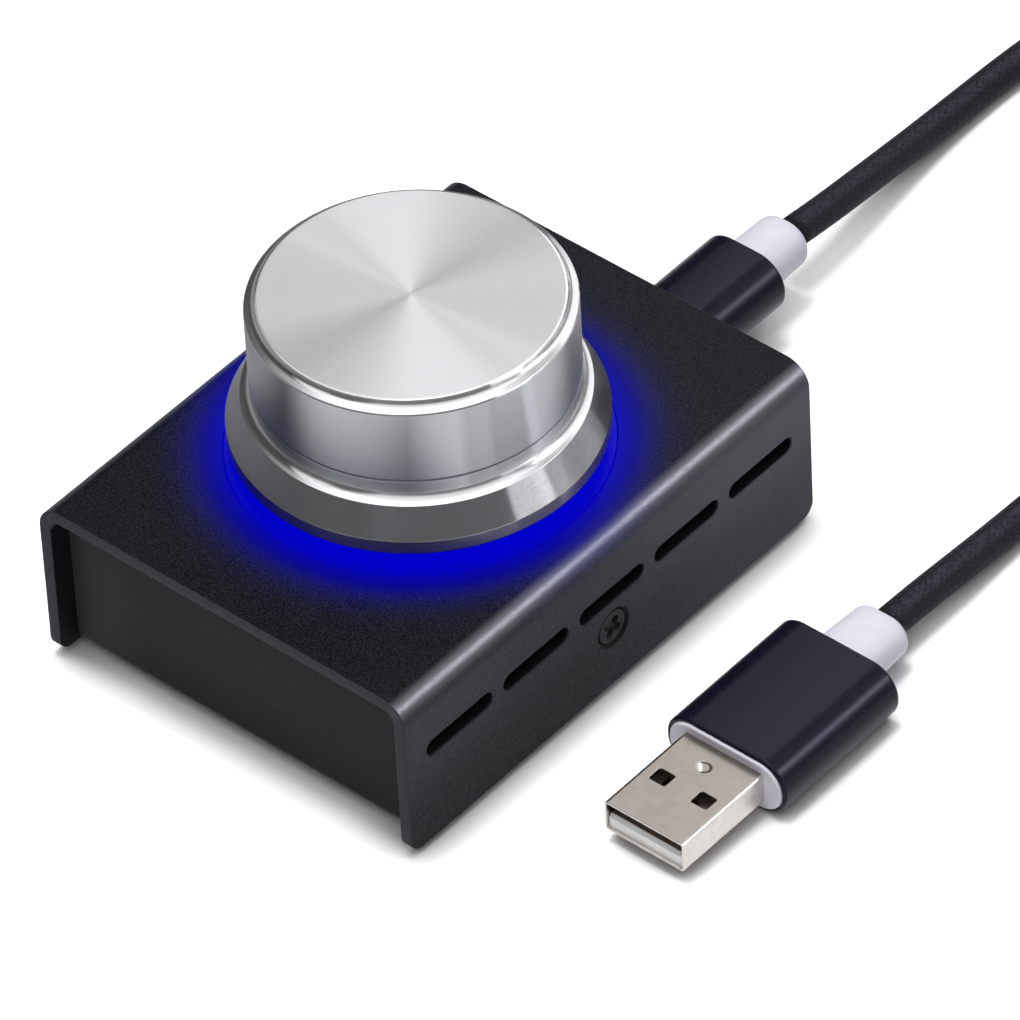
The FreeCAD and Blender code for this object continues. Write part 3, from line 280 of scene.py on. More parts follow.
diode = Finish("blue_diode", {"Emission Strength": 1.0})
diode_speck = diode.noise(0.6)
diode_window = diode.between(diode.axes()[2], *DIODE_WINDOW)
wear(diode.use({"Base Color": diode.mix(diode_window, ink(232, 232, 226), ink(226, 214, 120)),
                "Roughness": 0.3 + diode_speck * 0.2,
                "Emission Color": diode.mix(diode_window, DIODE_HAZE, DIODE_GLOW)}), "ring_lights")


# ------------------------ encoder
# A push-turn encoder: black plastic case, tinned lid and bushing, detent wheel with its leaf spring, and a
# snap dome under the plunger. Its shaft carries the knob.
wear(moulded("encoder_plastic", ink(24, 24, 26), ink(40, 40, 42), 0.45),
     "encoder_case", "switch_plunger", "detent_wheel")
wear(metal("spring_steel", ink(160, 160, 162), ink(204, 204, 204), 0.24, 0.1, (4.0, 4.0, 1.0)),
     "detent_spring", "switch_dome")
wear(metal("turned_shaft", ink(170, 170, 172), ink(216, 216, 216), 0.26, 0.12, (8.0, 8.0, 1.0)),
     "encoder_shaft")


# ------------------------ cover
# Top and both side walls in one 1.7 mm sheet: five vent slots and a countersunk screw hole in each side wall,
# and in the top the seat of the light ring with eight light holes. Blasted and anodised after folding.
# The flat pattern is cut into cells round the holes, and each point of it is then folded into its place.
TOP_LEVEL = 24.6
SHEET = 1.7
BEND = 3.4
TOP_HALF = 25.1             # flat half of the top, up to the bend
BEND_END = TOP_HALF + BEND * math.pi / 2
PATTERN_HALF = 50.64        # half of the pattern's width, down to the lower edge of a side wall
BOX_HALF = TOP_HALF + BEND
COVER_HALF = 37.1
FRAME_HALF = (48.0, 34.5)   # inner border of the strip along the pattern's edge
TOE = 2.0
EDGE = 0.18                 # how far edges are softened
KNOB_Y = -0.9
SLOT_ROW = 36.54            # from the pattern's middle to the middle of the slots
SLOT_PITCH = 13.8
SLOT_RADIUS = 1.2
SLOT_REACH = (0.0, 4.7)     # half of a slot's straight part
SLOT_CELL = (1.86, SLOT_PITCH / 2)
SCREW_ROW = 41.89
SCREW_CELL = (3.49, SLOT_PITCH / 2)
SCREW_LEVEL = TOP_LEVEL - BEND - (SCREW_ROW - BEND_END)
COUNTERSINK = 2.87
SCREW_HOLE = 1.7
SEAT_FRAME = (25.0, FRAME_HALF[1])
SEAT_STEPS = 40             # lattice steps across the seat's frame
SEAT_RADIUS = 23.4
SEAT_DEPTH = 0.8
ISLAND_RADIUS = 8.5
LIGHT_CELL = (9.5, 22.5)    # inner and outer radius of the cells round the light holes
LIGHT_CIRCLE = 16.0
LIGHT_HOLE = 1.5
BUSHING_HOLE = 3.7
SIDE_LINES = (30.56, 32.6, 46.7)    # lattice lines above the slots and below the screw
QUARTER = np.linspace(0.0, math.pi / 2, 5)
# a softened edge of radius one, as its way back from the wall and its way down from the face
SOFT_EDGE = np.stack([1 - np.sin(QUARTER), 1 - np.cos(QUARTER)], 1)


def fold_cover(spot, depth):
    """Place in metres of a point of the flat pattern at a depth below the outer face: flat on top, then
    round the bend by the arc's length over its radius, then straight down the side wall."""
    side, reach = np.sign(spot[..., 0]), np.abs(spot[..., 0])
    angle = np.clip((reach - TOP_HALF) / BEND, 0.0, math.pi / 2)
    radius = BEND - depth
    x = side * (np.minimum(reach, TOP_HALF) + radius * np.sin(angle))
    z = TOP_LEVEL - BEND + radius * np.cos(angle) - np.maximum(reach - BEND_END, 0.0)
    return np.stack([x, spot[..., 1] + 0 * x, z], -1) / 1000


def compass(angle):
    """Unit directions at angles: cosine and sine."""
    return np.stack([np.cos(angle), np.sin(angle)], -1)


def paired(across, along):
    """Points from two arrays of coordinates, of which one may be a single number."""
    return np.column_stack(np.broadcast_arrays(across, along))


def span(lines, low, high):
    """The lattice lines from low to high."""
    return lines[(lines >= low - 1e-5) & (lines <= high + 1e-5)]


def loop_of(low, high, across, along):
    """Points round a rectangle, on the lattice lines that cross its four sides."""
    u, v = span(across, low[0], high[0]), span(along, low[1], high[1])
    return np.concatenate([paired(u[:-1], low[1]), paired(high[0], v[:-1]),
                           paired(u[:0:-1], high[1]), paired(low[0], v[:0:-1])])


def both_faces(fold, across, along, thickness):
    """Grids of the outer and the inner face of a plain stretch of sheet, folded."""
    spots = np.stack(np.meshgrid(across, along), -1)
    return [(fold(spots, depth), False) for depth in (0.0, thickness)]


def walled(rim, core, away, profile):
    """Rows from a rim on the outer face to an edge, down it, and back to the rim on the inner face, with
    their depths. Each row between is the core plus the row's offset times the direction away from it."""
    rows = core + profile[:, 0, None, None] * away
    return np.concatenate([rim[None], rows, rim[None]]), np.pad(profile[:, 1], 1, "edge")[:, None]


def pierced(rim, middle, reach, profile):
    """Rows of a cell with a hole: the core is the point nearest to the rim in a rectangle or line that
    reaches that far from the hole's middle, and away points from the core to the rim."""
    core = np.clip(rim, np.subtract(middle, reach), np.add(middle, reach))
    away = rim - core
    return walled(rim, core, away / np.linalg.norm(away, axis=1, keepdims=True), profile)


def plain_hole(radius, edge, top, bottom):
    """Offsets and depths down a straight hole whose two edges are quarter circles."""
    upper = [radius, top] + edge * SOFT_EDGE
    lower = [0.0, top + bottom] + upper[::-1] * [1, -1]
    lip = radius + edge + 0.08
    return np.concatenate([[[lip, top]], upper, lower, [[lip, bottom]]])


def quads(spots, wrap):
    """Index quads of a grid of points, closed round its columns if wrap is set."""
    index = np.arange(spots.shape[0] * spots.shape[1]).reshape(spots.shape[:2])
    if wrap:
        index = np.hstack([index, index[:, :1]])
    return np.stack([index[:-1, :-1], index[:-1, 1:], index[1:, 1:], index[1:, :-1]], -1).reshape(-1, 4)


def weld(name, grids, body, finish, nodes, unwrap=False):
    """One piece from grids of points (points, wrap), merged where they meet, with its faces outwards. Where
    unwrap is set, its UV map runs with the columns and rows of each grid, one tile for each cell."""
    points, faces, charts, start = [], [], [], 0
    for spots, wrap in grids:
        faces.append(quads(spots, wrap) + start)
        points.append(spots.reshape(-1, 3))
        start += spots.shape[0] * spots.shape[1]
        if unwrap:
            rows, columns = spots.shape[0] - 1, spots.shape[1] - (0 if wrap else 1)
            corner = np.stack(np.meshgrid(np.arange(columns), np.arange(rows)), -1).reshape(-1, 1, 2)
            charts.append(corner + np.array([[0, 0], [1, 0], [1, 1], [0, 1]])[None])
    mesh = bpy.data.meshes.new(name)
    mesh.from_pydata(np.concatenate(points), [], np.concatenate(faces))
    if unwrap:
        chart = mesh.uv_layers.new(name="surface")
        chart.data.foreach_set("uv", np.concatenate(charts).astype(np.float32).ravel())
    work = bmesh.new()
    work.from_mesh(mesh)
    bmesh.ops.remove_doubles(work, verts=work.verts, dist=2e-7)
    bmesh.ops.dissolve_degenerate(work, edges=work.edges, dist=1e-8)
    bmesh.ops.recalc_face_normals(work, faces=work.faces)
    work.to_mesh(mesh)
    work.free()
    mesh.polygons.foreach_set("use_smooth", np.ones(len(mesh.polygons), bool))
    mesh.materials.append(finish.material)
    piece = added(name, mesh)
    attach(piece, body)
    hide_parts(*nodes)
    return piece


# lattice lines of the pattern: close together where a line ends at the round end of a slot
slot_end = np.linspace(SLOT_REACH[1], SLOT_CELL[1], 7)[1:]
slot_lines = np.concatenate([-slot_end[::-1], np.linspace(-SLOT_REACH[1], SLOT_REACH[1], 9), slot_end])
along_lines = np.unique(np.round(np.add.outer(SLOT_PITCH * np.arange(-2, 3), slot_lines), 6))
side_lines = np.concatenate([
    [SEAT_FRAME[0]], np.linspace(TOP_HALF, BEND_END, 15), SIDE_LINES[:2],
    SLOT_ROW + np.linspace(-SLOT_CELL[0], SLOT_CELL[0], 11),
    SCREW_ROW + np.linspace(-SCREW_CELL[0], SCREW_CELL[0], 15)[1:], [SIDE_LINES[2], FRAME_HALF[0]]])
across_lines = np.concatenate([
    -side_lines[:0:-1], np.linspace(-SEAT_FRAME[0], SEAT_FRAME[0], SEAT_STEPS + 1), side_lines[1:]])


def cell(middle, half):
    """The lattice points round a cell of the pattern."""
    return loop_of(np.subtract(middle, half), np.add(middle, half), across_lines, along_lines)


# the side walls: plain strips, cells round the slots, and one round the screw hole
countersink = np.array([
    [COUNTERSINK + 0.12, 0.0], [COUNTERSINK + 0.05, 0.0], [COUNTERSINK + 0.015, 0.02],
    [COUNTERSINK - 0.05, 0.07], [SCREW_HOLE + 0.04, 1.14], [SCREW_HOLE, 1.2],
    [SCREW_HOLE, SHEET - 0.05], [SCREW_HOLE + 0.05, SHEET], [SCREW_HOLE + 0.15, SHEET]])
slot_wall = plain_hole(SLOT_RADIUS, EDGE, 0.0, SHEET)
cover_grids = []
for side in (-1, 1):
    for low, high in ((SEAT_FRAME[0], SLOT_ROW - SLOT_CELL[0]), (SCREW_ROW + SCREW_CELL[0], FRAME_HALF[0])):
        cover_grids += both_faces(fold_cover, side * span(side_lines, low, high), along_lines, SHEET)
    for i in range(-2, 3):
        middle = (side * SLOT_ROW, SLOT_PITCH * i)
        slot = pierced(cell(middle, SLOT_CELL), middle, SLOT_REACH, slot_wall)
        cover_grids.append((fold_cover(*slot), True))
    screw_lines = side * span(side_lines, SCREW_ROW - SCREW_CELL[0], SCREW_ROW + SCREW_CELL[0])
    for low, high in ((-FRAME_HALF[1], -SCREW_CELL[1]), (SCREW_CELL[1], FRAME_HALF[1])):
        cover_grids += both_faces(fold_cover, screw_lines, span(along_lines, low, high), SHEET)
    middle = (side * SCREW_ROW, 0.0)
    cover_grids.append((fold_cover(*pierced(cell(middle, SCREW_CELL), middle, 0.0, countersink)), True))

# strip along the pattern's edge, round the four toes: nine rays from each corner of the frame to its toe, and
# between them rays straight out from the frame's side
frame_loop = cell((0.0, 0.0), FRAME_HALF)
turns = np.flatnonzero((np.abs(frame_loop) > np.array(FRAME_HALF) - 1e-5).all(axis=1))
frame_loop = np.concatenate([frame_loop, frame_loop[:1]])
toe_centre = np.array([PATTERN_HALF, COVER_HALF]) - TOE
strip_width = np.array([PATTERN_HALF, COVER_HALF]) - FRAME_HALF
rims, cores, inwards = [], [], []
for k, (first, last) in enumerate(zip(turns, [*turns[1:], len(frame_loop) - 1])):
    frame_side = frame_loop[first:last + 1]
    outward = compass(np.linspace(0.0, math.pi / 2, 9) + math.pi + k * math.pi / 2)
    rims += [np.tile(frame_side[0], (9, 1)), frame_side]
    cores += [np.sign(frame_side[0]) * toe_centre + TOE * outward, frame_side + outward[-1] * strip_width]
    inwards += [-outward, np.tile(-outward[-1], (len(frame_side), 1))]
rims, cores, inwards = [np.concatenate(part) for part in (rims, cores, inwards)]
cover_grids.append((fold_cover(*walled(rims, cores, inwards, plain_hole(0.0, EDGE, 0.0, SHEET))), True))

# top round the light ring's seat: the frame's lattice points spread evenly round the circle
bearing = np.radians(np.concatenate([
    first + 90.0 / count * np.arange(count)
    for first, count in zip((-135.0, -45.0, 45.0, 135.0), (SEAT_STEPS, len(along_lines) - 1) * 2)]))
hub = np.array([0.0, KNOB_Y])


def seat_rows(profile):
    """Rows round the knob's axis at the profile's radii and depths, folded."""
    return fold_cover(hub + profile[:, 0, None, None] * compass(bearing), profile[:, 1, None])


seat_wall = np.concatenate([
    [[SEAT_RADIUS + 0.18, 0.0]], [SEAT_RADIUS, 0.0] + 0.1 * SOFT_EDGE,
    [[SEAT_RADIUS, SEAT_DEPTH - 0.06], [SEAT_RADIUS - 0.06, SEAT_DEPTH], [LIGHT_CELL[1], SEAT_DEPTH]]])
for depth, profile in ((0.0, seat_wall), (SHEET, np.array([[LIGHT_CELL[1], SHEET]]))):
    rim = fold_cover(cell((0.0, 0.0), SEAT_FRAME)[None], depth)
    cover_grids.append((np.concatenate([rim, seat_rows(profile)]), True))
cover_grids.append((seat_rows(np.concatenate([
    [[LIGHT_CELL[0], SEAT_DEPTH], [ISLAND_RADIUS + 0.05, SEAT_DEPTH], [ISLAND_RADIUS, SEAT_DEPTH - 0.05]],
    ([ISLAND_RADIUS, 0.0] + 0.1 * SOFT_EDGE * [-1, 1])[::-1], [[ISLAND_RADIUS - 0.2, 0.0]],
    plain_hole(BUSHING_HOLE, 0.1, 0.0, SHEET), [[LIGHT_CELL[0], SHEET]]])), True))
closed = np.append(bearing, bearing[0] + 2 * math.pi)
light_wall = plain_hole(LIGHT_HOLE, 0.08, SEAT_DEPTH, SHEET)
for low in np.radians(45.0 * np.arange(8) - 135.0):
    border = loop_of((LIGHT_CELL[0], low), (LIGHT_CELL[1], low + math.pi / 4),
                     np.linspace(*LIGHT_CELL, 11), closed)
    middle = hub + LIGHT_CIRCLE * compass(low + math.pi / 8)
    rim = hub + border[:, :1] * compass(border[:, 1])
    cover_grids.append((fold_cover(*pierced(rim, middle, 0.0, light_wall)), True))

# Painted light: the blue light that spills from the ring onto the top is painted on as emission, full at the
# knob, half at GLOW_HALF from its axis, and dying away beyond it. Under it the base colour goes to black,
# which drowns the grain of the black.
GLOW_FULL = 0.55
GLOW_HALF = 25.3
GLOW_FALL = 0.66
NO_LIGHT = (0.0, 0.0, 0.0, 1.0)
BLUE_LIGHT = (0.0, 0.0, 1.0, 1.0)
TOP_DEEP = ink(1, 1, 2)
TOP_GRAIN = ink(36, 37, 42)
SIDE_DEEP_PAINTED_LIGHT = ink(26, 26, 30)
SIDE_GRAIN_PAINTED_LIGHT = ink(104, 105, 115)
EDGE_PAINTED_HIGHLIGHT = ink(63, 64, 70)
BEND_WORN = ink(92, 92, 98)
SINK_PAINTED_SHADE = ink(24, 24, 28)
INNER_PAINTED_SHADE = ink(25, 25, 29)


def apart(first, second):
    """Length of a way whose two parts are given: the root of the sum of their squares."""
    return (first * first + second * second) ** 0.5


def spilled(finish):
    """Share of blue light at a place: one over one plus the exponential of the way past the half circle."""
    x, y, z = finish.axes()
    beyond = apart(x, y - KNOB_Y) - GLOW_HALF
    outer = finish.between(z + (abs(x) - TOP_HALF).most(0.0) * 0.9, 23.5, 24.3)
    return finish.between(z, 20.5, 24.3) * outer * GLOW_FULL / ((beyond * GLOW_FALL).exponential() + 1.0)


cover, cover_grain = black_anodised("blasted_black_cover")
x, y, z = cover.axes()
# painted light: the side walls are paler towards their top and rear, and the top towards its rear; folding
# has burnished the two bends to bare metal
painted_light_high = cover.between(z, 5.0, 20.0)
painted_light_rear = cover.between(y, -16.0, 36.0)
painted_side_light = cover_grain * 0.2 + painted_light_high * 0.31 + painted_light_rear * (painted_light_high + 1.8) * 0.24
# painted highlight: the cut ends of the sheet are paler, for the light they catch
painted_edge_highlight = cover.between(abs(y), COVER_HALF - 0.16, COVER_HALF - 0.04)
burnished = (cover.between(abs(x), TOP_HALF + 0.9, TOP_HALF + 2.1)
             * cover.between(z, TOP_LEVEL - BEND + 0.9, TOP_LEVEL - BEND + 2.2))
# painted shade: the countersinks are darker, for the shade in them
sunk = (cover.between(apart(y, z - SCREW_LEVEL), COUNTERSINK - 0.12, COUNTERSINK + 0.02, 1.0, 0.0)
        * (abs(x) > BOX_HALF - 1.5))
# painted shade: the inner face of the side walls is darker, for the shade inside the box
painted_inner_shade = cover.between(abs(x), BOX_HALF - 0.3, BOX_HALF - 0.1, 1.0, 0.0) * (z < TOP_LEVEL - BEND)
# painted light: the side walls take a paler copy of the black than the top, for the light that falls on them
cover_black = cover.mix(cover.between(z, 21.0, 24.4), cover.mix(painted_side_light, SIDE_DEEP_PAINTED_LIGHT, SIDE_GRAIN_PAINTED_LIGHT),
                        cover.mix(cover_grain * 0.8 + painted_light_rear * 0.25, TOP_DEEP, TOP_GRAIN))
for share, shade in ((burnished, BEND_WORN), (sunk, SINK_PAINTED_SHADE),
                     (painted_inner_shade, INNER_PAINTED_SHADE), (painted_edge_highlight, EDGE_PAINTED_HIGHLIGHT)):
    cover_black = cover.mix(share, cover_black, shade)
painted_spill = spilled(cover)
cover.use({
    "Metallic": burnished * 0.95,
    "Roughness": 0.49 - burnished * 0.19 + cover_grain * 0.06,
    "Base Color": cover.mix(cover.between(painted_spill, 0.0, 0.3), cover_black, NO_LIGHT),
    "Emission Color": cover.mix(painted_spill, NO_LIGHT, BLUE_LIGHT),
    "Emission Strength": 1.0})
weld("folded_cover", cover_grids, "base", cover, ["top_cover"])


# ------------------------ side screws
# Two M3 countersunk cross-head screws of blackened steel. Their heads sit a little below the side walls, in
# the middle of each countersink.
SCREW_SINK = 0.26
SCREW_FACE = 2.2
SCREW_EDGE = 0.18
SCREW_BODY = np.array([[1.66, 1.3], [1.45, 1.4], [1.45, 5.6], [1.2, 5.9], [0.0, 5.9]])
CROSS_TURN = math.radians(-33.0)
CROSS_HALF = 0.62
CROSS_REACH = 1.7
CROSS_DEPTH = 0.4


def full_turn(count):
    """Bearings spread evenly round a full turn."""
    return np.linspace(0.0, 2 * math.pi, count, endpoint=False)


def screw_head(side):
    """Grid of a countersunk screw about the X axis: radius and depth along its profile times the bearing, and
    the recess of the cross, two soft-edged bars at right angles, let into its face."""
    profile = np.concatenate([
        paired(np.linspace(0.0, SCREW_FACE, 45), SCREW_SINK),
        ([SCREW_FACE + SCREW_EDGE, SCREW_SINK] + SCREW_EDGE * SOFT_EDGE * [-1, 1])[1:], SCREW_BODY])
    turn = full_turn(96)
    radius, depth = profile[:, :1], profile[:, 1:] + 0 * turn
    ways = np.abs(radius * np.cos(turn - CROSS_TURN)), np.abs(radius * np.sin(turn - CROSS_TURN))
    bar = (np.clip((CROSS_HALF - np.minimum(*ways)) / 0.4, 0.0, 1.0)
           * np.clip((CROSS_REACH - np.maximum(*ways)) / 0.5, 0.0, 1.0))
    depth = depth + np.where(depth < 0.5, CROSS_DEPTH * bar * bar * (3 - 2 * bar), 0.0)
    return np.stack([side * (BOX_HALF - depth), radius * np.cos(turn), SCREW_LEVEL + radius * np.sin(turn)],
                    -1) / 1000


screw = Finish("blackened_steel", {"Specular IOR Level": 0.1})
screw_grain = screw.noise(0.16, 3.0)
y, z = screw.axes()[1:]
z = z - SCREW_LEVEL
bar_way = abs(y * math.cos(CROSS_TURN) + z * math.sin(CROSS_TURN))
bar_side = abs(z * math.cos(CROSS_TURN) - y * math.sin(CROSS_TURN))
# painted shade: the cross recess is a dull dark, not metallic, for the shade in it
painted_cross_shade = (screw.between(bar_way.least(bar_side), 0.44, 0.68, 1.0, 0.0)
            * screw.between(bar_way.most(bar_side), 1.35, CROSS_REACH, 1.0, 0.0))
screw_black = screw.mix(screw_grain, ink(20, 20, 23), ink(42, 42, 47))
screw.use({
    "Metallic": 1.0 - painted_cross_shade,
    "Base Color": screw.mix(painted_cross_shade, screw_black, ink(26, 26, 29)),
    "Roughness": 0.36 + screw_grain * 0.12,
    "Normal": screw.bump(screw_grain * 0.004)})
weld("side_screw_pair", [(screw_head(side), True) for side in (-1, 1)], "base", screw,
     ["side_screws"])


# ------------------------ light ring
# A flat ring of clear moulded plastic round the knob's axis.
# It lies in its seat flush with the top of the cover, and the diodes light it blue from below.
ring = Finish("lit_ring", {"Emission Strength": 1.0, "Specular IOR Level": 0.12})
ring_speck = ring.noise(0.5)
wear(ring.use({"Base Color": ring.mix(ring_speck, ink(2, 3, 30), ink(4, 5, 48)),
               "Roughness": 0.3 + ring_speck * 0.15,
               "Emission Color": ring.mix(spilled(ring) * 1.12, NO_LIGHT, BLUE_LIGHT)}), "light_ring")


# ------------------------ knob
# Turned from solid aluminium: flat face with a soft lip, plain wall with one fine groove, shoulder and flared
# rim. The face and walls are finely brushed round the axis. A ribbed plastic core grips the shaft.
KNOB_BASE = 27.35
KNOB_TOP = 47.8
KNOB_SHOULDER = 33.7
KNOB_GROOVE = 36.2
KNOB_CROWN = 45.0
KNOB_WALL = 19.75
KNOB_FLOOR = 19.2           # radius of the groove's floor
KNOB_RIM = 22.9
KNOB_BORE = 17.0
KNOB_COLUMNS = 256
# Corners of the profile: radius, level, rounding. The face ends in a fine edge, with a hollow band down to
# the wall; the wall has one narrow groove, and a hollow shoulder leads out to the flared rim.
KNOB_CORNERS = (
    (0.0, KNOB_TOP, 0.0), (18.1, KNOB_TOP, 0.9), (18.4, KNOB_TOP - 0.06, 0.08), (18.5, KNOB_TOP - 0.28, 0.04),
    (18.76, KNOB_TOP - 0.76, 1.0), (19.64, KNOB_TOP - 1.16, 0.06), (KNOB_WALL, KNOB_TOP - 1.38, 0.06),
    (KNOB_WALL, KNOB_GROOVE + 0.16, 0.03), (KNOB_FLOOR, KNOB_GROOVE + 0.16, 0.04),
    (KNOB_FLOOR, KNOB_GROOVE - 0.16, 0.04), (KNOB_WALL, KNOB_GROOVE - 0.16, 0.03),
    (KNOB_WALL, KNOB_SHOULDER + 0.58, 0.05), (20.1, KNOB_SHOULDER - 0.02, 1.7),
    (20.93, KNOB_SHOULDER - 0.42, 0.06), (KNOB_RIM, KNOB_BASE + 2.05, 0.35), (KNOB_RIM, KNOB_BASE, 0.35),
    (KNOB_BORE, KNOB_BASE, 0.4), (KNOB_BORE, KNOB_CROWN, 0.3), (0.0, KNOB_CROWN, 0.0))


def rounded(corners, steps=8, lead=0.06):
    """Profile through corners with each corner rounded by a tangent arc, with one more point a short lead
    before and after each arc that keeps the straight parts flat."""
    profile = [np.array([corners[0][:2]])]
    for before, here, after in zip(corners, corners[1:], corners[2:]):
        spot = np.array(here[:2])
        back, ahead = [way / np.linalg.norm(way) for way in (before[:2] - spot, after[:2] - spot)]
        half = math.acos(float(np.clip(back @ ahead, -1, 1))) / 2
        reach = here[2] / math.tan(half)
        centre = spot + (back + ahead) / np.linalg.norm(back + ahead) * here[2] / math.sin(half)
        first, last = spot + back * reach - centre, spot + ahead * reach - centre
        share = np.linspace(0.0, 1.0, steps + 1)[:, None]
        sweep = math.pi - 2 * half
        arc = centre + (np.sin((1 - share) * sweep) * first + np.sin(share * sweep) * last) / math.sin(sweep)
        profile += [[spot + back * (reach + lead)], arc, [spot + ahead * (reach + lead)]]
    profile.append([np.array(corners[-1][:2])])
    return np.concatenate(profile)


def turned(profile, centre, columns):
    """Grid of points of a profile of radii and levels turned about a vertical line, in metres."""
    spots = centre + profile[:, 0, None, None] * compass(full_turn(columns))
    return np.concatenate([spots, np.tile(profile[:, 1, None, None], (1, columns, 1))], -1) / 1000


knob = Finish("brushed_aluminium", {"Metallic": 1.0, "Anisotropic": 0.97, "Anisotropic Rotation": 0.25})
x, y, z = knob.axes()
ring_place = knob.node("ShaderNodeCombineXYZ", {}, {0: apart(x, y - KNOB_Y), 1: z})
ring_line = knob.noise(0.14, 3.0, where=ring_place)
knob_cloud = knob.noise(0.5, 3.0)
knob_share = knob.between(ring_line * 0.5 + knob_cloud * 0.5, 0.2, 0.8)
on_face = z > KNOB_TOP - 0.02
on_skirt = z < KNOB_SHOULDER - 0.46
on_lip = (z > KNOB_TOP - 1.4) - on_face
on_shoulder = (z < KNOB_SHOULDER + 0.62) - on_skirt
wall_grey = knob.mix(knob_share, ink(196, 197, 202), ink(202, 203, 208))
# painted shade: the skirt takes a darker grey than the wall, for the dark cover it reflects
skirt_painted_shade = knob.mix(knob_share, ink(152, 152, 157), ink(172, 171, 176))
bright_grey = knob.mix(knob_share, ink(210, 209, 212), ink(216, 214, 217))
knob.use({
    "Base Color": knob.mix(on_face + on_lip + on_shoulder,
                           knob.mix(on_skirt, wall_grey, skirt_painted_shade), bright_grey),
    "Roughness": (0.24 + on_face * 0.12 - on_skirt * 0.05 - (on_lip + on_shoulder) * 0.06
                  + ring_line * 0.02),
    "Normal": knob.bump(ring_line * 0.0003 + knob_cloud * 0.0002)})
weld("turned_knob", [(turned(rounded(KNOB_CORNERS), hub, KNOB_COLUMNS), True)], "knob", knob,
     ["knob_shell"], unwrap=True)
wear(moulded("knob_core_plastic", ink(30, 30, 32), ink(50, 50, 53), 0.5), "knob_insert")


# ------------------------ lead: plug at the box
# A black anodised tube round a white soft moulding, whose oval strain relief tapers towards the cord.
# Its folded steel tip sits in the micro USB socket.
SOCKET_AXIS = (0.0, 8.5)            # across and up
REAR_ENDS = (34.6, 59.4)            # of the tube and the moulding's body
REAR_TUBE = (12.5, 8.5, 4.1)        # width, height, corner
REAR_MOULDING = (11.26, 7.26, 3.48)
REAR_RELIEF = (7.9, 6.9)
TUBE_WALL = 0.6
TUBE_EDGE = 0.35
TUBE_INNER_EDGE = 0.12
BODY_EDGE = 0.3
RELIEF_CORNER = 0.48                # of its smaller side
RELIEF_END = 1.2                    # rounding of its end


def oval(width, height, corner):
    """Points and outward directions round a rectangle with rounded corners, each corner a quarter circle
    about a centre that lies in the direction of the middle of its arc."""
    outward = compass(np.linspace(0.0, math.pi / 2, 11) + np.arange(4)[:, None] * math.pi / 2)
    centre = np.sign(outward[:, 5:6]) * (width / 2 - corner, height / 2 - corner)
    return (centre + corner * outward).reshape(-1, 2), outward.reshape(-1, 2)


def carried(sections, centre):
    """Grid of section outlines carried along Y: each row is (along, points), about a centre (x, z)."""
    rows = [np.stack([centre[0] + points[:, 0], np.full(len(points), along), centre[1] + points[:, 1]], 1)
            for along, points in sections]
    return np.stack(rows) / 1000


def tube(size, start, end):
    """Sections of an open tube with softened ends, outside and back inside: each row of the profile is a way
    along from the end and a depth below the outside."""
    points, outward = oval(*size)
    mouth = np.concatenate([
        [[TUBE_EDGE + 0.1, 0.0]], TUBE_EDGE * SOFT_EDGE,
        [0.0, TUBE_WALL] + TUBE_INNER_EDGE * SOFT_EDGE[:, ::-1] * [1, -1], [[0.3, TUBE_WALL]]])
    rows = np.concatenate([[start, 0.0] + mouth, ([end, 0.0] + mouth * [-1, 1])[::-1],
                           [[start + TUBE_EDGE + 0.1, 0.0]]])
    return [(along, points - outward * depth) for along, depth in rows]


def moulding(size, start, end, relief, reach, taper):
    """Sections of a moulding: closed front with a softened edge, straight body, step in to the oval relief,
    taper, and a rounded end closed round the cord."""
    points, outward = oval(*size)
    body = [(start, 0.6), (start, 0.35), *([start, 0.0] + BODY_EDGE * SOFT_EDGE)[::-1], (start + 0.4, 0.0),
            (end - 0.5, 0.0), (end - 0.4, 0.0), (end - 0.25, 0.06), (end - 0.2, 0.2)]
    rows = [(start, points * 0.0)] + [(along, points - outward * depth) for along, depth in body]
    corner = min(relief) * RELIEF_CORNER
    root, root_out = oval(*relief, corner)
    tip, tip_out = oval(relief[0] * taper, relief[1] * taper, corner * taper)
    rows += [(end - 0.2, root + root_out * 0.35), (end - 0.12, root + root_out * 0.12), (end + 0.1, root)]
    rows += [(end + 0.1 + (reach - RELIEF_END - 0.1) * share, root + (tip - root) * share)
             for share in np.linspace(0.06, 1.0, 9)]
    rows += [(end + reach - RELIEF_END * (1 - math.sin(a)), tip - tip_out * RELIEF_END * (1 - math.cos(a)))
             for a in np.linspace(0.0, math.pi / 2, 8)[1:]]
    return rows + [(end + reach, (tip - tip_out * RELIEF_END) * 0.8), (end + reach, tip * 0.0)]


sleeve = Finish("sleeve_black", {"Metallic": 0.3, "Specular IOR Level": 0.19})
sleeve_grain = sleeve.noise(0.14, 3.0)
sleeve_line = sleeve.noise(0.25, 2.0, (1.0, 14.0, 1.0))
sleeve.use({
    "Base Color": sleeve.mix(sleeve.between(sleeve_grain, 0.3, 0.7), ink(17, 17, 33), ink(26, 26, 46)),
    "Roughness": 0.2 + sleeve_line * 0.08 + sleeve_grain * 0.04,
    "Normal": sleeve.bump(sleeve_grain * 0.003 + sleeve_line * 0.001)})

white = Finish("white_moulding", {"Specular IOR Level": 0.4})
white_grain = white.noise(0.2)
white.use({
    "Base Color": white.mix(white.noise(2.5), ink(223, 221, 237), ink(235, 234, 245)),
    "Roughness": 0.42 + white_grain * 0.12,
    "Normal": white.bump(white_grain * 0.004)})


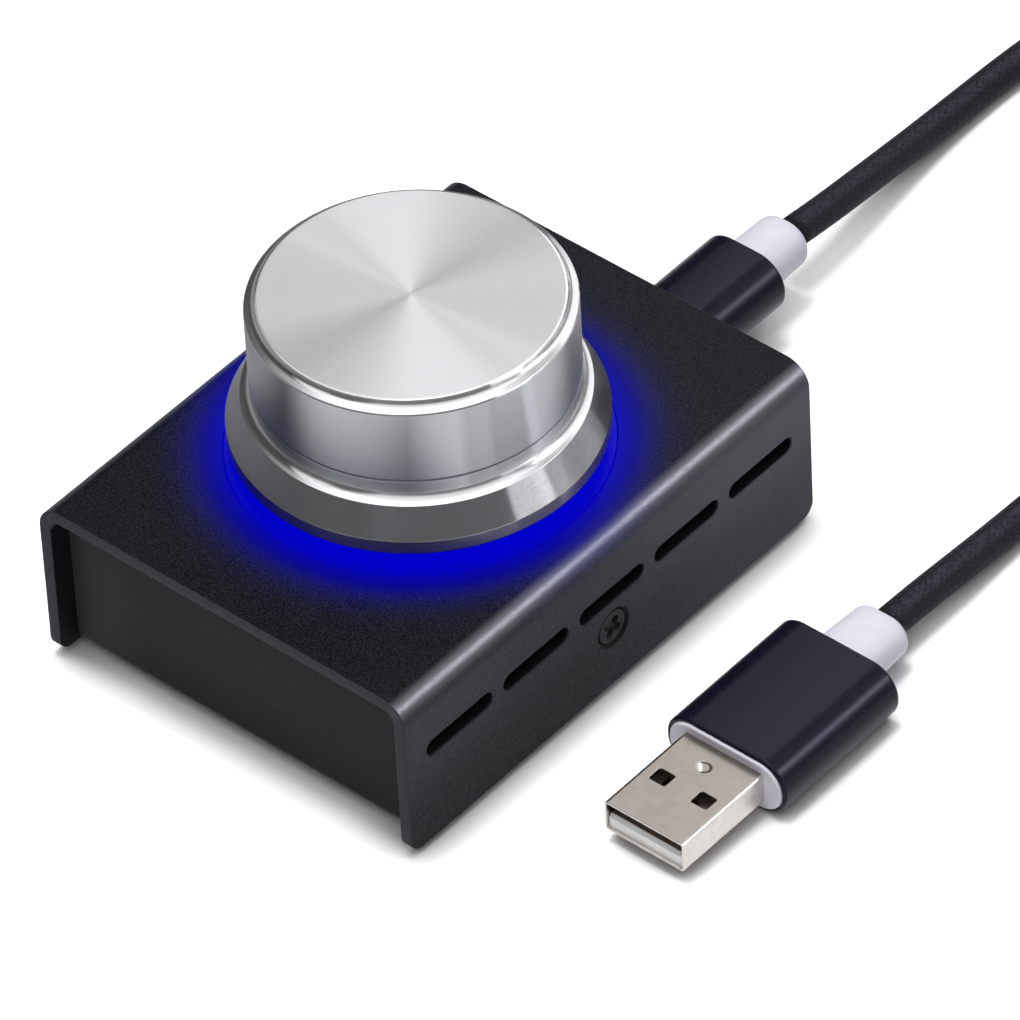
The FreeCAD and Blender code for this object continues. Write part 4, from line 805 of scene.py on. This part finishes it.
def plug_halves(name, axis, tube_sections, moulding_sections):
    """The tube and the moulding of one plug, about its axis (x, z)."""
    return [weld(f"{name}_tube", [(carried(tube_sections, axis), True)], "base", sleeve,
                 [f"{name}_sleeve"]),
            weld(f"{name}_moulding", [(carried(moulding_sections, axis), True)], "base", white,
                 [f"{name}_body"])]


rear_plug = plug_halves("rear_plug", SOCKET_AXIS, tube(REAR_TUBE, *REAR_ENDS),
                        moulding(REAR_MOULDING, *REAR_ENDS, REAR_RELIEF, reach=7.9, taper=0.96))
wear(metal("plug_tip_steel", ink(168, 162, 154), ink(208, 202, 194), 0.24, 0.3, (1.0, 8.0, 1.0)),
     "rear_plug_tip")


# ------------------------ lead: plug at the computer end
# A larger tube and moulding of the same kind. The plug's nickel-plated shell is folded from 0.3 mm steel,
# with two windows above and two below; a white tongue with four gilt contacts lies on its floor.
PLUG_X = 49.9
PLUG_LEVEL = 4.1
PLUG_ENDS = (-5.4, 15.8)
PLUG_BODY_START = -5.7              # the moulding stands out of the tube's front
PLUG_TUBE = (18.1, 8.2, 3.9)
PLUG_MOULDING = (16.86, 6.96, 3.28)
PLUG_RELIEF = (8.8, 6.4)
SHELL_HALF = (6.0, 2.25)
SHELL_WALL = 0.3
SHELL_CORNER = 0.5
SHELL_EDGE = 0.08
SHELL_MOUTH = -20.4
SHELL_END = -1.7
SHELL_ROWS = (-19.6, -2.2)          # inner borders of the strips along the mouth and the end
WINDOW_MIDDLE = (3.15, -13.2)
WINDOW_HALF = (1.2, 1.1)
WINDOW_CELL = (1.75, 1.7)
WINDOW_CORNER = 0.3
CLINCH = (-0.4, -8.95)
CLINCH_HALF = (1.1, 0.95)
CLINCH_WAY = (0.8, 0.6)             # towards its sunk side
CLINCH_DEPTH = 0.08
TONGUE_TOP = 3.99
shell_flat = SHELL_HALF[0] - SHELL_CORNER
shell_arc = SHELL_CORNER * math.pi / 2
shell_side = 2 * (SHELL_HALF[1] - SHELL_CORNER)
side_start = shell_flat + shell_arc
side_end = side_start + shell_side
shell_reach = side_end + shell_arc + shell_flat


def pressed(spot):
    """How deep the oval clinch is pressed in at a point of the pattern, by the point's distance from the
    middle in half widths of the oval: a soft-edged pan with a ramp down from one side to a sunk floor."""
    across, along = np.moveaxis((spot - np.array(CLINCH)) / CLINCH_HALF, -1, 0)
    pan = np.clip((1.0 - np.hypot(across, along)) / 0.2, 0.0, 1.0)
    ramp = np.clip((across * CLINCH_WAY[0] + along * CLINCH_WAY[1] + 0.9) / 0.8, 0.0, 1.0)
    return CLINCH_DEPTH * pan * pan * (3 - 2 * pan) * ramp


def fold_shell(spot, depth):
    """Place in metres of a point of the shell's flat pattern: across from the middle of the top, round the
    first corner, down the side, round the second corner and back under to the seam in the middle."""
    side, reach = np.sign(spot[..., 0]), np.abs(spot[..., 0])
    first = np.clip((reach - shell_flat) / SHELL_CORNER, 0.0, math.pi / 2)
    second = np.clip((reach - side_end) / SHELL_CORNER, 0.0, math.pi / 2)
    down = np.clip(reach - side_start, 0.0, shell_side)
    back = np.maximum(reach - side_end - shell_arc, 0.0)
    radius = SHELL_CORNER - depth - pressed(spot)
    x = side * (np.minimum(reach, shell_flat) + radius * np.sin(first) - radius * (1 - np.cos(second)) - back)
    z = SHELL_HALF[1] - SHELL_CORNER + radius * np.cos(first) - down - radius * np.sin(second)
    return np.stack([PLUG_X + x, spot[..., 1] + 0 * x, PLUG_LEVEL + z], -1) / 1000


window_columns = [WINDOW_MIDDLE[0] - WINDOW_CELL[0], WINDOW_MIDDLE[0] + WINDOW_CELL[0]]
window_rows = [WINDOW_MIDDLE[1] - WINDOW_CELL[1], WINDOW_MIDDLE[1] + WINDOW_CELL[1]]
window_lines = np.linspace(*window_columns, 26)
half_lines = np.unique(np.round(np.concatenate([
    np.linspace(0.0, window_columns[0], 21), window_lines, [5.2, 5.44],
    np.linspace(shell_flat, side_start, 7),
    [side_start + 0.06, side_start + shell_side / 2, side_end - 0.06],
    np.linspace(side_end, side_end + shell_arc, 7), shell_reach - window_lines,
    shell_reach - np.array([5.44, 5.2, 0.7, 0.0])]), 6))
shell_lines = np.concatenate([-half_lines[:0:-1], half_lines])
shell_rows = np.concatenate([[SHELL_ROWS[0], -17.2], np.linspace(*window_rows, 13),
                             np.linspace(-10.0, -7.9, 31), [-5.0, SHELL_ROWS[1]]])
shell_grids = []
for low, high in ((SHELL_ROWS[0], window_rows[0]), (window_rows[1], SHELL_ROWS[1])):
    shell_grids += both_faces(fold_shell, shell_lines, span(shell_rows, low, high), SHELL_WALL)
# round the pattern, every second stretch of columns holds a window
half_bounds = np.array([*window_columns, shell_reach - window_columns[1], shell_reach - window_columns[0],
                        shell_reach])
bounds = np.concatenate([-half_bounds[::-1], half_bounds])
window_wall = plain_hole(WINDOW_CORNER, 0.05, 0.0, SHELL_WALL)
for i, (low, high) in enumerate(zip(bounds, bounds[1:])):
    columns, rows = span(shell_lines, low, high), span(shell_rows, *window_rows)
    if i % 2 == 0:
        shell_grids += both_faces(fold_shell, columns, rows, SHELL_WALL)
    else:
        rim = loop_of((columns[0], window_rows[0]), (columns[-1], window_rows[1]), columns, rows)
        middle = ((low + high) / 2, WINDOW_MIDDLE[1])
        inset = np.array(WINDOW_HALF) - WINDOW_CORNER
        shell_grids.append((fold_shell(*pierced(rim, middle, inset, window_wall)), True))
for row, end, inward in ((SHELL_ROWS[0], SHELL_MOUTH, 1.0), (SHELL_ROWS[1], SHELL_END, -1.0)):
    lip = walled(paired(shell_lines, row), paired(shell_lines, end), np.array([0.0, inward]),
                 plain_hole(0.0, SHELL_EDGE, 0.0, SHELL_WALL))
    shell_grids.append((fold_shell(*lip), False))

plating = Finish("plated_steel", {})
x, y, z = plating.axes()
mottle = plating.noise(1.4, 3.0)
drawn_line = plating.noise(0.12, 2.0, (1.0, 12.0, 1.0))
plating_share = plating.between(mottle * 0.6 + drawn_line * 0.4, 0.3, 0.7)
# the clinch is sheared through in an arc round its sunk side, which leaves a dark line
clinch_x = (x - PLUG_X - CLINCH[0]) / CLINCH_HALF[0]
clinch_y = (y - CLINCH[1]) / CLINCH_HALF[1]
clinch_reach = apart(clinch_x, clinch_y)
clinch_side = clinch_x * CLINCH_WAY[0] + clinch_y * CLINCH_WAY[1]
sheared = (plating.between(clinch_reach, 0.64, 0.72) * plating.between(clinch_reach, 0.88, 0.96, 1.0, 0.0)
           * plating.between(clinch_side, -0.45, -0.15) * (z > PLUG_LEVEL))
# painted shade: the flat top and bottom, with the clinch, take a duller copy of the steel than the sides, and
# the inside is painted dark brown, for the shade in it
off_middle, off_level = abs(x - PLUG_X), abs(z - PLUG_LEVEL)
painted_flat_shade = plating.between(off_level, SHELL_HALF[1] - 0.06, SHELL_HALF[1] - 0.01)
painted_flat_shade = painted_flat_shade.most((clinch_reach < 1.1) * (clinch_side > -0.15))
inside = (plating.between(off_middle, SHELL_HALF[0] - 0.28, SHELL_HALF[0] - 0.24, 1.0, 0.0)
          * plating.between(off_level, SHELL_HALF[1] - 0.28, SHELL_HALF[1] - 0.24, 1.0, 0.0)
          * plating.between(y, SHELL_MOUTH + 0.3, SHELL_MOUTH + 0.5))
bright_steel = plating.mix(plating_share, ink(208, 204, 200), ink(220, 216, 212))
flat_painted_shade_steel = plating.mix(plating_share, ink(146, 139, 132), ink(156, 149, 142))
steel = plating.mix(inside, plating.mix(painted_flat_shade, bright_steel, flat_painted_shade_steel), ink(116, 100, 88))
plating.use({
    "Base Color": plating.mix(sheared, steel, ink(60, 48, 42)),
    "Metallic": 1.0 - sheared * 0.8,
    "Roughness": 0.2 + drawn_line * 0.06 + mottle * 0.04,
    "Normal": plating.bump(drawn_line * 0.001 + mottle * 0.002)})
shell = weld("plug_folded_shell", shell_grids, "base", plating, ["plug_shell"])
front_plug = plug_halves("plug", (PLUG_X, PLUG_LEVEL), tube(PLUG_TUBE, *PLUG_ENDS),
                         moulding(PLUG_MOULDING, PLUG_BODY_START, PLUG_ENDS[1], PLUG_RELIEF, reach=8.5,
                                  taper=0.93))

tongue = Finish("tongue_plastic", {"Specular IOR Level": 0.7, "Coat Weight": 1.0, "Coat Roughness": 0.2})
y, z = tongue.axes()[1:]
tongue_speck = tongue.noise(0.4)
# the tongue's upper face just behind the mouth is a darker brown
tongue_top_dark = tongue.between(z, TONGUE_TOP - 0.1, TONGUE_TOP - 0.04) * tongue.between(y, -19.6, -19.4)
tongue_white = tongue.mix(tongue_speck, ink(248, 248, 249), ink(254, 254, 254))
wear(tongue.use({"Base Color": tongue.mix(tongue_top_dark, tongue_white, ink(126, 111, 102)),
                 "Roughness": 0.2 + tongue_speck * 0.06}), "plug_tongue")
wear(metal("plug_contact_gilt", ink(206, 162, 74), ink(240, 204, 120), 0.22, 0.2, (1.0, 8.0, 1.0)),
     "plug_contacts")


# ------------------------ lead: cord
# A braided lead of 4.2 mm from the plug at the box to the plug at the computer end, 1.14 m long. Its spare
# length lies in a flat coil of six and a half turns in two layers behind the box, held by a strap.
CORD_DIAMETER = 4.2
REAR_ROUTE = ((0.0, 68.0, 8.5), (0.1, 74.0, 7.9), (-1.1, 84.0, 5.7), (-2.4, 95.0, 3.3), (-2.9, 106.0, 2.2),
              (-2.6, 116.0, 2.2), (-1.3, 127.0, 2.6), (0.0, 137.0, 2.75))
PLUG_ROUTE = ((49.9, 24.2, 4.1), (50.0, 30.0, 4.1), (50.0, 38.0, 3.5), (49.7, 48.0, 2.4), (49.8, 60.0, 2.15),
              (50.6, 74.0, 2.1), (53.6, 91.0, 2.15), (57.7, 105.0, 3.3), (60.0, 119.0, 6.3),
              (60.0, 133.0, 7.0))
COIL_CENTRE = (30.0, 150.0)
COIL_RADII = (30.0, 17.1)
COIL_LEVELS = (2.75, 7.0)
COIL_TURNS = (3.0, 3.5, 6.5)        # end of the lower layer, start and end of the upper one
TURN_POINTS = 20

# the coil winds in over its first turns, climbs in half a turn, and winds out again
turns = np.arange(COIL_TURNS[2] * TURN_POINTS + 1) / TURN_POINTS
radius = np.interp(turns, (0.0, *COIL_TURNS), (COIL_RADII[0], COIL_RADII[1], COIL_RADII[1], COIL_RADII[0]))
coil = np.column_stack([COIL_CENTRE + radius[:, None] * compass(math.pi - 2 * math.pi * turns),
                        np.interp(turns, COIL_TURNS[:2], COIL_LEVELS)])
route = np.concatenate([REAR_ROUTE, coil, PLUG_ROUTE[::-1]])

line = bpy.data.curves.new("lead_line", "CURVE")
line.dimensions = "3D"
spline = line.splines.new("NURBS")
spline.points.add(len(route) - 1)
spline.points.foreach_set("co", np.column_stack([route / 1000, np.ones(len(route))]).ravel())
spline.order_u = 3
spline.use_endpoint_u = True
spline.resolution_u = 8
guide = bpy.data.objects.new("lead_line", line)
sampled = bpy.data.meshes.new_from_object(guide)
centreline = np.zeros(len(sampled.vertices) * 3)
sampled.vertices.foreach_get("co", centreline)
centreline = centreline.reshape(-1, 3)
bpy.data.objects.remove(guide)
steps = np.linalg.norm(np.diff(centreline, axis=0), axis=1)
centreline = centreline[np.concatenate([[True], steps > 1e-7])]


def swept(path, radius, columns):
    """Grid of circles carried along a path that never stands upright: each circle lies across the path,
    with its first direction level, and flat caps close the two ends."""
    ahead = np.gradient(path, axis=0)
    ahead /= np.linalg.norm(ahead, axis=1, keepdims=True)
    level_side = np.cross(ahead, [0.0, 0.0, 1.0])
    level_side /= np.linalg.norm(level_side, axis=1, keepdims=True)
    top_side = np.cross(level_side, ahead)
    angle = full_turn(columns)[None, :, None]
    circle = level_side[:, None] * np.cos(angle) + top_side[:, None] * np.sin(angle)
    caps = [np.repeat(path[i][None, None], columns, axis=1) for i in (0, -1)]
    return np.concatenate([caps[0], path[:, None] + circle * radius, caps[1]])


BRAID_COLUMNS = 24
BRAID_TOWS = 16.0           # tows each way round the cord
PAINTED_LIGHT_WAY = (0.3, 0.954)    # sideways and upward parts of the direction whose painted light is strongest
JACKET_DEEP = ink(2, 2, 6)
JACKET_PALE = ink(30, 30, 41)
JACKET_PAINTED_LIGHT = ink(50, 51, 61)

braid = Finish("braided_jacket", {"Specular IOR Level": 0.14, "Sheen Weight": 0.02, "Sheen Roughness": 0.5})
tile_u, tile_v = braid.parts(braid.node("ShaderNodeUVMap", {"uv_map": "surface"}, {}))[:2]
tow_u = tile_u / BRAID_COLUMNS * BRAID_TOWS
left, right = tow_u + tile_v, tow_u - tile_v
left_part, right_part = left % 1.0, right % 1.0
left_tow, right_tow = [1.0 - abs(part * 2.0 - 1.0) ** 2.0 for part in (left_part, right_part)]
over = ((left - left_part) + (right - right_part)) % 2.0
tow = left_tow * over + right_tow * (1.0 - over)
fibre = braid.noise(0.14, 3.0)
# painted light: the upper side of the lead is paler in patches, where light from above would catch it
facing = braid.parts(braid.node("ShaderNodeTexCoord", {}, {}, "Normal"))
patch = braid.noise(0.6, 3.0)
painted_top_light = (braid.between(facing[2] * PAINTED_LIGHT_WAY[1] + facing[0] * PAINTED_LIGHT_WAY[0], 0.86, 0.99)
         * braid.between(patch * 0.9 + tow * 0.1, 0.3, 0.7))
jacket = braid.mix(braid.between(tow * 0.45 + fibre * 0.75, 0.25, 1.0), JACKET_DEEP, JACKET_PALE)
braid.use({
    "Base Color": braid.mix(painted_top_light, jacket, JACKET_PAINTED_LIGHT),
    "Roughness": 0.5 + fibre * 0.2,
    "Normal": braid.bump(tow * 0.045 + fibre * 0.05 + patch * 0.05)})
lead = weld("braided_lead", [(swept(centreline, CORD_DIAMETER / 2000, BRAID_COLUMNS), True)], "base",
            braid, ["cord_rear", "cord_coil", "cord_front"], unwrap=True)

strap = Finish("tie_fabric", {"Specular IOR Level": 0.25, "Sheen Weight": 0.4})
strap_x, _, strap_z = strap.axes()
strap_weave = abs(strap_x % 0.5 - 0.25) + abs(strap_z % 0.5 - 0.25)
strap_fuzz = strap.noise(0.2, 3.0)
wear(strap.use({"Base Color": strap.mix(strap_fuzz, ink(20, 20, 22), ink(44, 44, 47)),
                "Roughness": 0.75 + strap_fuzz * 0.15,
                "Normal": strap.bump(strap_weave * 0.15 + strap_fuzz * 0.05)}), "cord_tie")


# ------------------------ floor and light
# A round white table in a dim room. A lamp straight above and a broad fill give the light and the shadow, and
# ten panels show in gloss alone. The table and the room below the horizon are white to the camera and in
# metal; the table keeps a shadow where the object stands close over it.
TABLE_RADIUS = 0.42
TABLE_CENTRE = (0.02, 0.06)
TABLE_POINTS = 96
TABLE_LIFT = 0.5            # white added for the camera where nothing is near
TABLE_GLOSS = 0.2           # white added in gloss
SHADOW_REACH = 0.01
CARD_EDGE = (-62.0, -30.0)  # where the card left of the box is full, and where it ends
CARD_BLACK = (0.33, 0.33, 0.34, 1.0)
WHITE_LIGHT = (1.0, 1.0, 1.0, 1.0)
LAMP_AIM = Vector((0.0, 0.0, 0.03))
ROOM_DIM = 0.07


def rays(finish):
    """Whether a ray comes straight from the camera, by gloss, or through something clear."""
    return [finish.node("ShaderNodeLightPath", {}, {}, f"Is {kind} Ray")
            for kind in ("Camera", "Glossy", "Transmission")]


table_top = Finish("table_white", {"Specular IOR Level": 0.0, "Roughness": 1.0, "Emission Strength": 1.0})
to_camera, in_gloss, through = rays(table_top)
table_open = table_top.between(table_top.node(
    "ShaderNodeAmbientOcclusion", {"samples": 12}, {"Distance": SHADOW_REACH}, "AO"), 0.43, 0.8)
# metal shows the part of the table beside the box on the left darker, as a dark card there would look in it
card = table_top.between(table_top.axes()[0], *CARD_EDGE, 1.0, 0.0) * in_gloss
table_share = to_camera * table_open * TABLE_LIFT + (in_gloss + through - card * 0.8) * TABLE_GLOSS
table_white = table_top.mix(table_top.noise(30.0), (0.86, 0.86, 0.86, 1.0), (0.88, 0.88, 0.88, 1.0))
table_top.use({"Base Color": table_top.mix(card, table_white, CARD_BLACK),
               "Emission Color": table_top.mix(table_share, NO_LIGHT, WHITE_LIGHT)})
disc = np.column_stack([TABLE_CENTRE + TABLE_RADIUS * compass(full_turn(TABLE_POINTS)),
                        np.zeros(TABLE_POINTS)])
table_mesh = bpy.data.meshes.new("table")
table_mesh.from_pydata(disc, [], [list(range(TABLE_POINTS))])
table_mesh.materials.append(table_top.material)
table = added("table", table_mesh)


def softbox(name, direction, distance, size, radiance, shows=True):
    """A lamp of that size in metres, at a distance from its aim in that direction, facing the aim. A lamp
    that shows is a panel seen in gloss alone; one that doesn't show gives the light and shadow."""
    lamp = bpy.data.lights.new(name, "AREA")
    lamp.shape = "RECTANGLE"
    lamp.size, lamp.size_y = size
    lamp.energy = radiance * math.pi * size[0] * size[1]
    holder = added(name, lamp)
    way = Vector(direction).normalized()
    holder.location = LAMP_AIM + way * distance
    holder.rotation_euler = way.to_track_quat("Z", "Y").to_euler()
    holder.visible_diffuse = not shows
    holder.visible_glossy = shows


softbox("lamp_key", (-0.08, -0.01, 1.0), 1.2, (0.28, 0.28), 31.6, shows=False)
softbox("lamp_fill", (0.15, -0.2, 0.97), 1.2, (2.0, 2.0), 0.85, shows=False)
softbox("panel_over_back", (-0.14, 0.27, 0.95), 1.0, (1.68, 1.15), 0.53)
softbox("panel_over_front", (0.42, -0.27, 0.87), 1.0, (1.68, 1.15), 1.11)
softbox("panel_over_left", (-0.17, -0.26, 0.95), 1.0, (0.54, 1.68), 1.19)
softbox("panel_over_strip", (-0.29, 0.09, 0.95), 1.0, (0.35, 0.83), 0.71)
softbox("panel_back", (-0.30, 0.57, 0.77), 1.0, (0.35, 0.83), 1.4)
softbox("panel_back_right", (0.26, 0.83, 0.50), 1.0, (1.68, 0.54), 1.41)
softbox("panel_right", (0.83, 0.43, 0.34), 1.0, (0.35, 0.83), 0.4)
softbox("panel_right_low", (0.97, 0.22, 0.05), 1.0, (0.44, 0.17), 1.2)
softbox("panel_right_core", (0.97, 0.22, 0.05), 0.98, (0.42, 0.17), 2.0)
softbox("panel_right_edge", (0.68, 0.54, 0.49), 1.0, (0.3, 0.18), 10.0)


class Surround(Finish):
    """The world's own nodes, added as a finish's are."""

    def __init__(self, world):
        self.tree = world.node_tree


room = bpy.data.worlds.new("surround")
room.use_nodes = True
bpy.context.scene.world = room
sky = Surround(room)
to_camera, in_gloss, through = rays(sky)
sky_height = sky.parts(sky.node("ShaderNodeTexCoord", {}, {}, "Generated"))[2]
shown = to_camera + in_gloss * sky.between(sky_height, -0.12, 0.0, 1.0, 0.0) + through
dim, lit = [sky.node("ShaderNodeBackground", {}, {"Color": WHITE_LIGHT, "Strength": strength})
            for strength in (ROOM_DIM, 1.0)]
sky.feed(sky.tree.nodes["World Output"],
         {"Surface": sky.node("ShaderNodeMixShader", {}, {0: shown, 1: dim, 2: lit})})

bpy.context.scene.view_settings.view_transform = "Standard"
